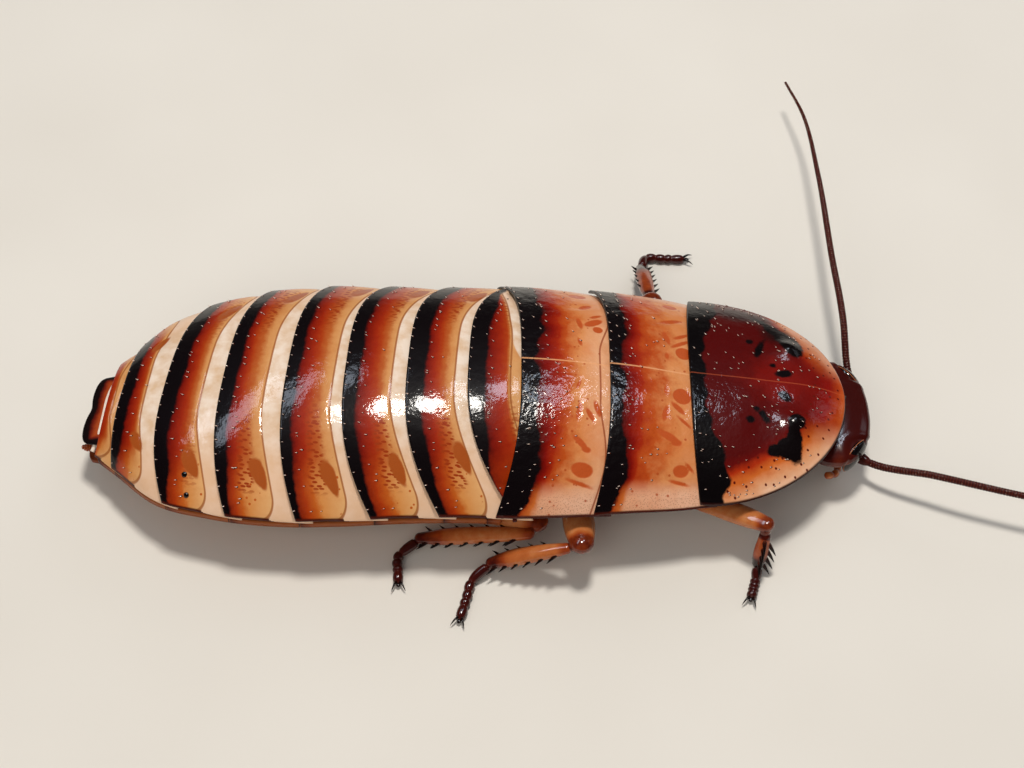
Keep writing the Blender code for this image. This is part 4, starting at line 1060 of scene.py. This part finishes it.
makeHead()
for side, sign in bothSides:
    t, turn = np.meshgrid(np.linspace(0.05, math.pi - 0.05, 60), fullTurn(72), indexing="ij")
    makePiece("eye_fine_" + side, closeRings(eyeShape(t, turn, sign)), eyeChitin, ["eye_" + side], 0.3)
    # thin pale rim where the eye meets the capsule
    half = np.linspace(0.02, math.pi - 0.02, 60)
    centre, long, out, across = eyeAxes(sign)
    loop = out * headLook["eyeRimOut"] + np.concatenate((
        eyeShape(half, 0 * half, sign, 0.03), eyeShape(half[::-1], 0 * half + math.pi, sign, 0.03)))
    tube = fullTurn(10)[None, :, None]
    rings = loop[:, None] + headLook["rimRadius"] * (np.cos(tube) * unit(loop - centre)[:, None]
                                                     + np.sin(tube) * out)
    loopFaces = gridFaces(len(loop) + 1, 10, wrap=True) % (len(loop) * 10)
    makePiece("eye_rim_" + side, (rings.reshape(-1, 3), [loopFaces]), headChitin, (), 0.05)
print("head made")


# Mouthparts

mouthShapes = [ball((26.5, 0, 0.9), (0, 1, 0), (1, 0, 0.4), (0.75, 0.45, 0.16)),
               ball((26.85, 0, 1.4), (0, 1, 0), (1, 0, 0.3), (1.0, 0.34, 0.14))]
for side, sign in bothSides:
    mouthShapes += [
        ball((25.95, sign * 1.0, 0.9), (0.5, -sign * 0.3, -0.6), (0, sign, 0), (0.62, 0.42, 0.3)),
        ball((25.1, sign * 0.75, 0.8), (0.4, 0, -0.5), (0, sign, 0), (0.55, 0.3, 0.25))]
makePiece("mouthparts", joined(mouthShapes), headChitin, (), 0.12)
palpLook = {
    # points, radius, joints and rings of the jaw's palp and the lip's
    "fine": (((25.6, 1.75, 0.75), (25.8, 2.7, 0.75), (25.4, 3.5, 1.05), (24.7, 3.8, 1.35)), 0.27, 4, 90),
    "lip": (((25.0, 0.7, 0.75), (25.0, 1.3, 0.5), (24.5, 1.75, 0.6)), 0.2, 3, 60),
}


def makePalp(part, side, sign):
    # tube whose radius swells along each joint and narrows between them: 0.72 + 0.28 |sin|^0.7
    points, radius, joints, count = palpLook[part]
    t = np.linspace(0, 1, count)
    swell = np.abs(np.sin(t * math.pi * joints)) ** 0.7
    ends = np.sqrt(np.clip(np.minimum(t / 0.03, (1 - t) / 0.05), 0.02, 1))
    shape = sweep(routeThrough(points, count) * (1, sign, 1), radius * (0.72 + 0.28 * swell) * ends, 14)
    nodes = ["palp_" + side] if part == "fine" else ()
    makePiece("palp_" + part + "_" + side, shape, legChitin, nodes,
              ringMarks(0.25 + 0.5 * swell, 14, 0.2, 0.2))


for side, sign in bothSides:
    for part in palpLook:
        makePalp(part, side, sign)


# Feelers

feelerLook = {
    "routes": {
        "left": ((26.55, 1.9, 1.75), (27.3, 3.1, 1.75), (26.95, 4.8, 2.9), (26.75, 7.4, 4.6),
                 (26.45, 13.6, 5.0), (26.25, 22.4, 4.8), (25.8, 29.8, 4.0), (24.9, 34.2, 3.2)),
        "right": ((26.55, -1.9, 1.75), (27.6, -2.95, 1.95), (32.1, -5.0, 3.0), (37.9, -6.9, 3.3),
                  (45.0, -8.6, 3.3), (52.0, -9.6, 2.9), (57.5, -9.9, 2.4))},
    "scapeLength": 1.9, "scapeRadius": 0.42, "radii": (0.28, 0.23, 0.1), "ring": 0.2,
    "hair": 0.26, "hairRadius": 0.014, "hairsPerRing": 4,
}


def makeFeeler(side):
    # scape and small second joint, then rings: radius x (0.86 + 0.16 |sin|^0.5) once a ring, and hairs
    # round each ring
    look = feelerLook
    dense = routeThrough(look["routes"][side], 4000)
    length = lengthsAlong(dense)
    end = length[-1]

    def at(places):
        # points of the route at these running lengths
        return np.stack([np.interp(places, length, dense[:, axis]) for axis in range(3)], -1)

    scape = np.linspace(0, look["scapeLength"], 50)
    t = scape / look["scapeLength"]
    radii = look["scapeRadius"] * (0.62 + 0.38 * np.sin(math.pi * np.clip(t * 1.1, 0, 1)) ** 0.6)
    makePiece("feeler_scape_" + side, sweep(at(scape), radii, 20), feelerChitin,
              ["antenna_" + side + "_scape"], 0.55)
    for part, first, last in (("inner", look["scapeLength"] - 0.05, end / 2), ("outer", end / 2, end)):
        ringCount = int((last - first) / look["ring"])
        places = np.linspace(first, last, ringCount * 6 + 1)
        swell = np.abs(np.sin(np.linspace(0, ringCount, len(places)) * math.pi)) ** 0.5
        radii = np.interp(places / end, (0, 0.5, 1), look["radii"]) * (0.86 + 0.16 * swell)
        radii[-1] *= 0.4 if part == "outer" else 1
        makePiece("feeler_" + part + "_" + side, sweep(at(places), radii, 12), feelerChitin,
                  ["antenna_" + side + "_" + part], ringMarks(0.15 + 0.6 * swell, 12, 0.5, 0.5))
        hairPlaces = np.linspace(first, last, ringCount, endpoint=False) + look["ring"] / 2
        hairPlaces = np.repeat(hairPlaces, look["hairsPerRing"])
        along = unit(at(hairPlaces + 0.02) - at(hairPlaces - 0.02))
        turn = draw.uniform(0, 2 * math.pi, len(hairPlaces))[:, None]
        across = unit(np.cross((0.3, 0.2, 1.0), along))
        away = np.cos(turn) * across + np.sin(turn) * np.cross(along, across)
        rootRadius = np.interp(hairPlaces / end, (0, 0.5, 1), look["radii"])[:, None] * 0.85
        hairs = spread(coneShape(look["hair"], look["hairRadius"], 3), at(hairPlaces) + away * rootRadius,
                       np.cross(away, along), unit(away * 0.6 + along), draw.uniform(0.6, 1.0, len(turn)))
        makePiece("hairs_" + part + "_" + side, hairs, hairAmberAndPaintedGlint, (), 0.2)


for side in ("left", "right"):
    makeFeeler(side)
print("feelers made")


# Legs

legLook = {
    # hip, trochanter, knee, ankle, bend of the foot, end of the foot
    "points": {
        "right_front": ((19.6, -2.4, 1.9), (14.9, -5.4, 1.6), (19.85, -9.6, 3.8),
                        (19.5, -10.9, 1.0), (19.3, -11.9, 0.38), (18.9, -13.3, 0.28)),
        "right_mid": ((12.2, -2.3, 1.9), (6.9, -4.9, 1.6), (7.3, -11.0, 3.6),
                      (1.2, -10.9, 1.05), (-0.1, -11.9, 0.4), (-0.95, -15.0, 0.28)),
        "right_hind": ((5.8, -2.3, 1.9), (-1.9, -5.0, 1.5), (4.3, -8.9, 3.1),
                       (-3.75, -9.0, 1.2), (-5.3, -10.2, 0.42), (-5.2, -12.1, 0.28)),
        "left_front": ((19.6, 2.4, 1.9), (15.0, 5.2, 1.6), (19.1, 7.9, 3.4),
                       (20.3, 9.6, 1.0), (21.2, 9.9, 0.38), (22.7, 9.3, 0.28)),
        "left_mid": ((12.2, 2.3, 1.9), (8.2, 4.9, 1.6), (12.9, 10.2, 3.7),
                     (12.5, 15.9, 1.0), (13.0, 17.5, 0.38), (16.0, 17.5, 0.28)),
        "left_hind": ((5.8, 2.3, 1.9), (-1.9, 5.0, 1.5), (2.6, 9.3, 3.1),
                      (-5.4, 9.9, 1.2), (-7.1, 10.9, 0.42), (-8.6, 12.6, 0.28))},
    "femurWidth": {"front": 0.78, "mid": 1.1, "hind": 1.1},
    "tibiaWidth": {"front": 0.5, "mid": 0.62, "hind": 0.62},
    "kneeRadius": {"front": 0.6, "mid": 0.85, "hind": 0.8},
    "hipRadius": 0.6, "shinRadius": 0.42, "footRadius": 0.33, "tarsusRadius": 0.38, "gap": 0.3,
    "flatness": {"coxa": 0.55, "femur": 0.75, "tibia": 0.85}, "bow": {"femur": 0.15, "tibia": 0.1},
    "shade": {"right_front": 0.25, "left_mid": 0.35},      # darker tibiae
    "spineCounts": {"front": 11, "mid": 17, "hind": 20},
    "spineRows": ((0, 1.15), (-75, 1.3), (160, 0.95)),     # turn about the tibia and length of each row
    "spineSpan": (0.1, 0.96), "spineRoot": 0.2, "spineLean": 0.9, "spineRadius": 0.17, "floorGap": 0.35,
    "footJoints": np.array((0.0, 0.36, 0.52, 0.66, 0.78, 1.0)), "clawLength": 0.78, "clawRadius": 0.11,
}


def nextStart(before, joint, after, reach):
    # first point of the next piece: straight on, or beside the piece that ends there when folded back
    back, on = unit(before - joint), unit(after - joint)
    folded = max(float(np.dot(on, back)), 0.0)
    return joint + unit(on - folded * back) * reach


def limb(start, end, profile, flat, bow, sides=24, count=50):
    # path from start to end, bowed up by bow x sin; radii follow the profile's smooth curve, with
    # round ends; gives the shape and the share of the length of every point
    length = np.linalg.norm(end - start)
    places, shares = roundEnds(length, profile[0], profile[-1], count)
    t = np.clip(places / length, 0, 1)
    radii = smoothCurve(np.linspace(0, 1, len(profile)), profile, t) * shares
    path = start + (end - start) * (places / length)[:, None]
    path[:, 2] += bow * np.sin(math.pi * t)
    return sweep(path, radii, sides, flat), ringMarks(t, sides, 0.0, 1.0)


def spineShape():
    # curved, tapered spine along z, bent towards x: radius (1 - t)^0.8, offset 0.12 t^2
    t = np.linspace(0, 0.97, 9)[:, None]
    turn = fullTurn(8)
    radius = legLook["spineRadius"] * (1 - t) ** 0.8
    return closeRings(np.stack((0.12 * t ** 2 + radius * np.cos(turn), radius * np.sin(turn),
                                t + 0 * turn), -1))


def makeLeg(name):
    # coxa, femur and tibia as limbs between their joints, with a small ball at the hip and the knee
    look = legLook
    hip, trochanter, knee, ankle, bend, tip = (np.array(p, float) for p in look["points"][name])
    pair = name.split("_")[1]
    hipRadius, shinRadius, kneeRadius = look["hipRadius"], look["shinRadius"], look["kneeRadius"][pair]
    wide, slim = look["femurWidth"][pair], look["tibiaWidth"][pair]
    shape, t = limb(hip, trochanter, (0.9, 1.2, 1.2, 0.95, hipRadius), look["flatness"]["coxa"], 0)
    makePiece("coxa_fine_" + name, shape, bellyChitin, ["coxa_" + name],
              0.3 + 0.5 * np.sin(math.pi * np.clip(t, 0.02, 0.98)))
    start = nextStart(hip, trochanter, knee, 2 * hipRadius + look["gap"])
    shape, t = limb(start, knee, (hipRadius, 0.9 * wide, wide, 0.97 * wide, kneeRadius),
                    look["flatness"]["femur"], look["bow"]["femur"])
    makePiece("femur_fine_" + name, shape, legChitin, ["femur_" + name],
              0.8 - 0.55 * smoothStep(0.87, 1.0, t) - 0.4 * smoothStep(0.15, 0.0, t))
    on = start - trochanter
    hinge = ball(trochanter + unit(on) * 0.72, on, (0, 0, 1), (0.6, 0.5, 0.42))
    makePiece("trochanter_" + name, hinge, legChitin, (), 0.4)
    start = nextStart(trochanter, knee, ankle, 0.85 * kneeRadius + shinRadius)
    shape, t = limb(start, ankle, (shinRadius, 0.9 * slim, slim, slim, shinRadius),
                    look["flatness"]["tibia"], look["bow"]["tibia"])
    tint = 0.72 - 0.35 * smoothStep(0.12, 0.0, t) - 0.6 * smoothStep(0.6, 1.0, t) - look["shade"].get(name, 0)
    makePiece("tibia_fine_" + name, shape, legChitin, ["tibia_" + name], tint)
    joint = ball((knee + start) / 2, start - knee, (0, 0, 1), (0.6, 0.36, 0.34), rings=16, sides=20)
    makePiece("knee_" + name, joint, legChitin, (), 0.2)
    makeSpines(name, start, ankle)
    makeFoot(name, knee, ankle, bend, tip)


def makeSpines(name, start, ankle):
    # rows of spines in turn round the tibia, each leaning towards the foot and kept off the floor
    look = legLook
    side, pair = name.split("_")
    along = unit(ankle - start)
    outward = np.array((0, 1.0 if side == "left" else -1.0, 0))
    if abs(along[1]) > 0.7:     # a tibia that points sideways has its spines in front and behind
        outward = np.array((1.0, 0, 0))
    out = unit(outward - along * np.dot(outward, along))
    above = np.cross(along, out)
    above = above * np.sign(above[2])
    count = look["spineCounts"][pair]
    rows = np.array(look["spineRows"])[np.arange(count) % 3]
    turn = np.radians(rows[:, :1])
    lean = np.cos(turn) * out + np.sin(turn) * above
    share = np.linspace(*look["spineSpan"], count)[:, None]
    roots = start + (ankle - start) * share + lean * look["spineRoot"]
    roots[:, 2] += look["bow"]["tibia"] * np.sin(math.pi * share[:, 0])
    direction = unit(lean + along * look["spineLean"])
    room = np.where(direction[:, 2] < 0,
                    (roots[:, 2] - look["floorGap"]) / np.maximum(-direction[:, 2], 1e-6), 9)
    template = spineShape()
    bent = along - direction * (direction @ along)[:, None]
    makePiece("spines_" + name, spread(template, roots, bent, direction, np.minimum(rows[:, 1], room)),
              darkChitin, (), np.tile(np.clip(1 - template[0][:, 2] * 1.6, 0, 1), count))


def makeFoot(name, knee, ankle, bend, tip):
    # five links, each a swelling of the tube, flat where it lies on the floor, then claws and a pad
    look = legLook
    start = nextStart(knee, ankle, bend, look["shinRadius"] + 0.6 * look["footRadius"])
    before = start - unit(bend - start) * 0.9 * look["footRadius"]
    path = routeThrough((before, bend, bend + (tip - bend) * 0.5, tip), 120)
    t = np.linspace(0, 1, 120)
    joints = look["footJoints"]
    i = np.clip(np.searchsorted(joints, t) - 1, 0, len(joints) - 2)
    inLink = (t - joints[i]) / (joints[i + 1] - joints[i])
    swell = 0.6 + 0.42 * np.sin(math.pi * np.clip(0.12 + 0.88 * inLink, 0, 1)) ** 0.6
    radii = look["tarsusRadius"] * swell * np.interp(t, (0, 0.04, 0.95, 1), (0.5, 0.95, 0.95, 0.55))
    makePiece("foot_" + name, sweep(path, radii, 20, onFloor=True), footChitin, ["tarsus_" + name],
              ringMarks(0.9 - 0.6 * swell, 20, 0.3, 0.1))
    along = unit((tip - bend) * (1, 1, 0))
    across = np.array((-along[1], along[0], 0))
    q = np.linspace(0, 1, 20)[:, None]
    height = 0.16 * np.sin(math.pi * q) - 0.1 * q ** 2
    taper = look["clawRadius"] * (1 - np.linspace(0, 0.97, 20)) ** 0.7
    claws = []
    for sign in (-1, 1):
        root = path[-6] + across * sign * 0.1 + (0, 0, 0.05)
        route = root + (along + across * sign * 0.5) * look["clawLength"] * q + height * (0, 0, 1)
        claws.append(sweep(route, taper, 10, onFloor=True))
    pad = ball(tip + along * 0.1 + (0, 0, 0.02), along, (0, 0, 1), (0.2, 0.16, 0.1), rings=10, sides=14)
    pad[0][:, 2] = np.maximum(pad[0][:, 2], 0)
    makePiece("claws_" + name, joined(claws + [pad]), darkChitin, (), 0.1)


for legName in legLook["points"]:
    makeLeg(legName)
print("legs made")


# Floor, light and camera

floorMesh = bpy.data.meshes.new("floor")
floorMesh.from_pydata([(-1, -1, 0), (1, -1, 0), (1, 1, 0), (-1, 1, 0)], [], [(0, 1, 2, 3)])
floorPiece = bpy.data.objects.new("floor", floorMesh)
floorPaint, floorTree, floorShader, floorPlace = startFinish("matt paper", {"Roughness": 0.85})
floorCloud = addNode(floorTree, "TexNoise", {"Vector": floorPlace, "Scale": 0.05, "Detail": 2.0})
floorTone = addNode(floorTree, "Mix", {0: floorCloud, 6: tone("#d8d3cb"), 7: tone("#e2ded7")}, out=2,
                    data_type="RGBA")
floorTree.links.new(floorTone, floorShader.inputs["Base Color"])
floorMesh.materials.append(floorPaint)
bpy.context.scene.collection.objects.link(floorPiece)

lights = {
    # direction from the body, distance, length and width, power in watts, and what the light is seen
    # by: matt surfaces, and reflections
    "key": {"towards": (0.05, 0.16, 1.0), "distance": 300, "size": (55, 55), "power": 0.62,
            "colour": "#fffaf2", "matt": True, "shine": True},
    "sheen": {"towards": (-0.42, 0.28, 1.0), "distance": 300, "size": (250, 40), "power": 0.24,
              "colour": "#dbe6f6", "matt": False, "shine": True},
    "frontSheen": {"towards": (0.3, 0.4, 1.0), "distance": 300, "size": (44, 84), "power": 0.17,
                   "colour": "#dbe6f6", "matt": False, "shine": True},
    "brow": {"towards": (0.8, 0.42, 0.5), "distance": 300, "size": (50, 90), "power": 0.012,
             "colour": "#e8eef8", "matt": False, "shine": True},
    "fill": {"towards": (-0.5, -1.0, 0.9), "distance": 330, "size": (260, 260), "power": 0.34,
             "colour": "#fff6ea", "matt": True, "shine": False},
    "back": {"towards": (0.8, 1.0, 0.7), "distance": 330, "size": (200, 200), "power": 0.15,
             "colour": "#f2f6ff", "matt": True, "shine": False},
}
# the whole width shows 1024 pixels, and the 55 mm body fills 790 of them
cameraLook = {"target": (2.6, 0.0, 7.0), "elevation": 52, "distance": 140, "view": 1024 * 55 / 790,
              "sensor": 36}


def aim(thing, away):
    # turns an object's -z axis back along the direction that it lies in
    thing.rotation_mode = "QUATERNION"
    thing.rotation_quaternion = Vector(tuple(-np.asarray(away, float))).to_track_quat("-Z", "Y")


for lightName, look in lights.items():
    lamp = bpy.data.lights.new(lightName, "AREA")
    lamp.shape = "ELLIPSE"
    lamp.size, lamp.size_y = (side * mm for side in look["size"])
    lamp.energy = look["power"]
    lamp.color = tone(look["colour"])[:3]
    holder = bpy.data.objects.new(lightName, lamp)
    away = unit(look["towards"])
    holder.location = (bodyShift + away * look["distance"]) * mm
    aim(holder, away)
    holder.visible_diffuse, holder.visible_glossy = look["matt"], look["shine"]
    bpy.context.scene.collection.objects.link(holder)

world = bpy.data.worlds.new("studio")
world.use_nodes = True
sky = world.node_tree.nodes["Background"]
sky.inputs["Color"].default_value = tone("#e9edf2")
# dimmer in reflections, so that the gloss doesn't veil the deep reds
isReflection = addNode(world.node_tree, "LightPath", {}, out="Is Glossy Ray")
dimmed = addNode(world.node_tree, "MapRange", {"Value": isReflection, "To Min": 0.24, "To Max": 0.03})
world.node_tree.links.new(dimmed, sky.inputs["Strength"])
bpy.context.scene.world = world
bpy.context.scene.view_settings.view_transform = "Standard"

camera = bpy.data.cameras.new("camera")
camera.sensor_width = cameraLook["sensor"]
camera.lens = cameraLook["sensor"] * cameraLook["distance"] / cameraLook["view"]
camera.clip_start, camera.clip_end = 0.005, 5
cameraHolder = bpy.data.objects.new("camera", camera)
tilt = math.radians(cameraLook["elevation"])
away = np.array((0, -math.cos(tilt), math.sin(tilt)))
cameraHolder.location = (bodyShift + cameraLook["target"] + away * cameraLook["distance"]) * mm
aim(cameraHolder, away)
bpy.context.scene.collection.objects.link(cameraHolder)
bpy.context.scene.camera = cameraHolder
print("stage lit")
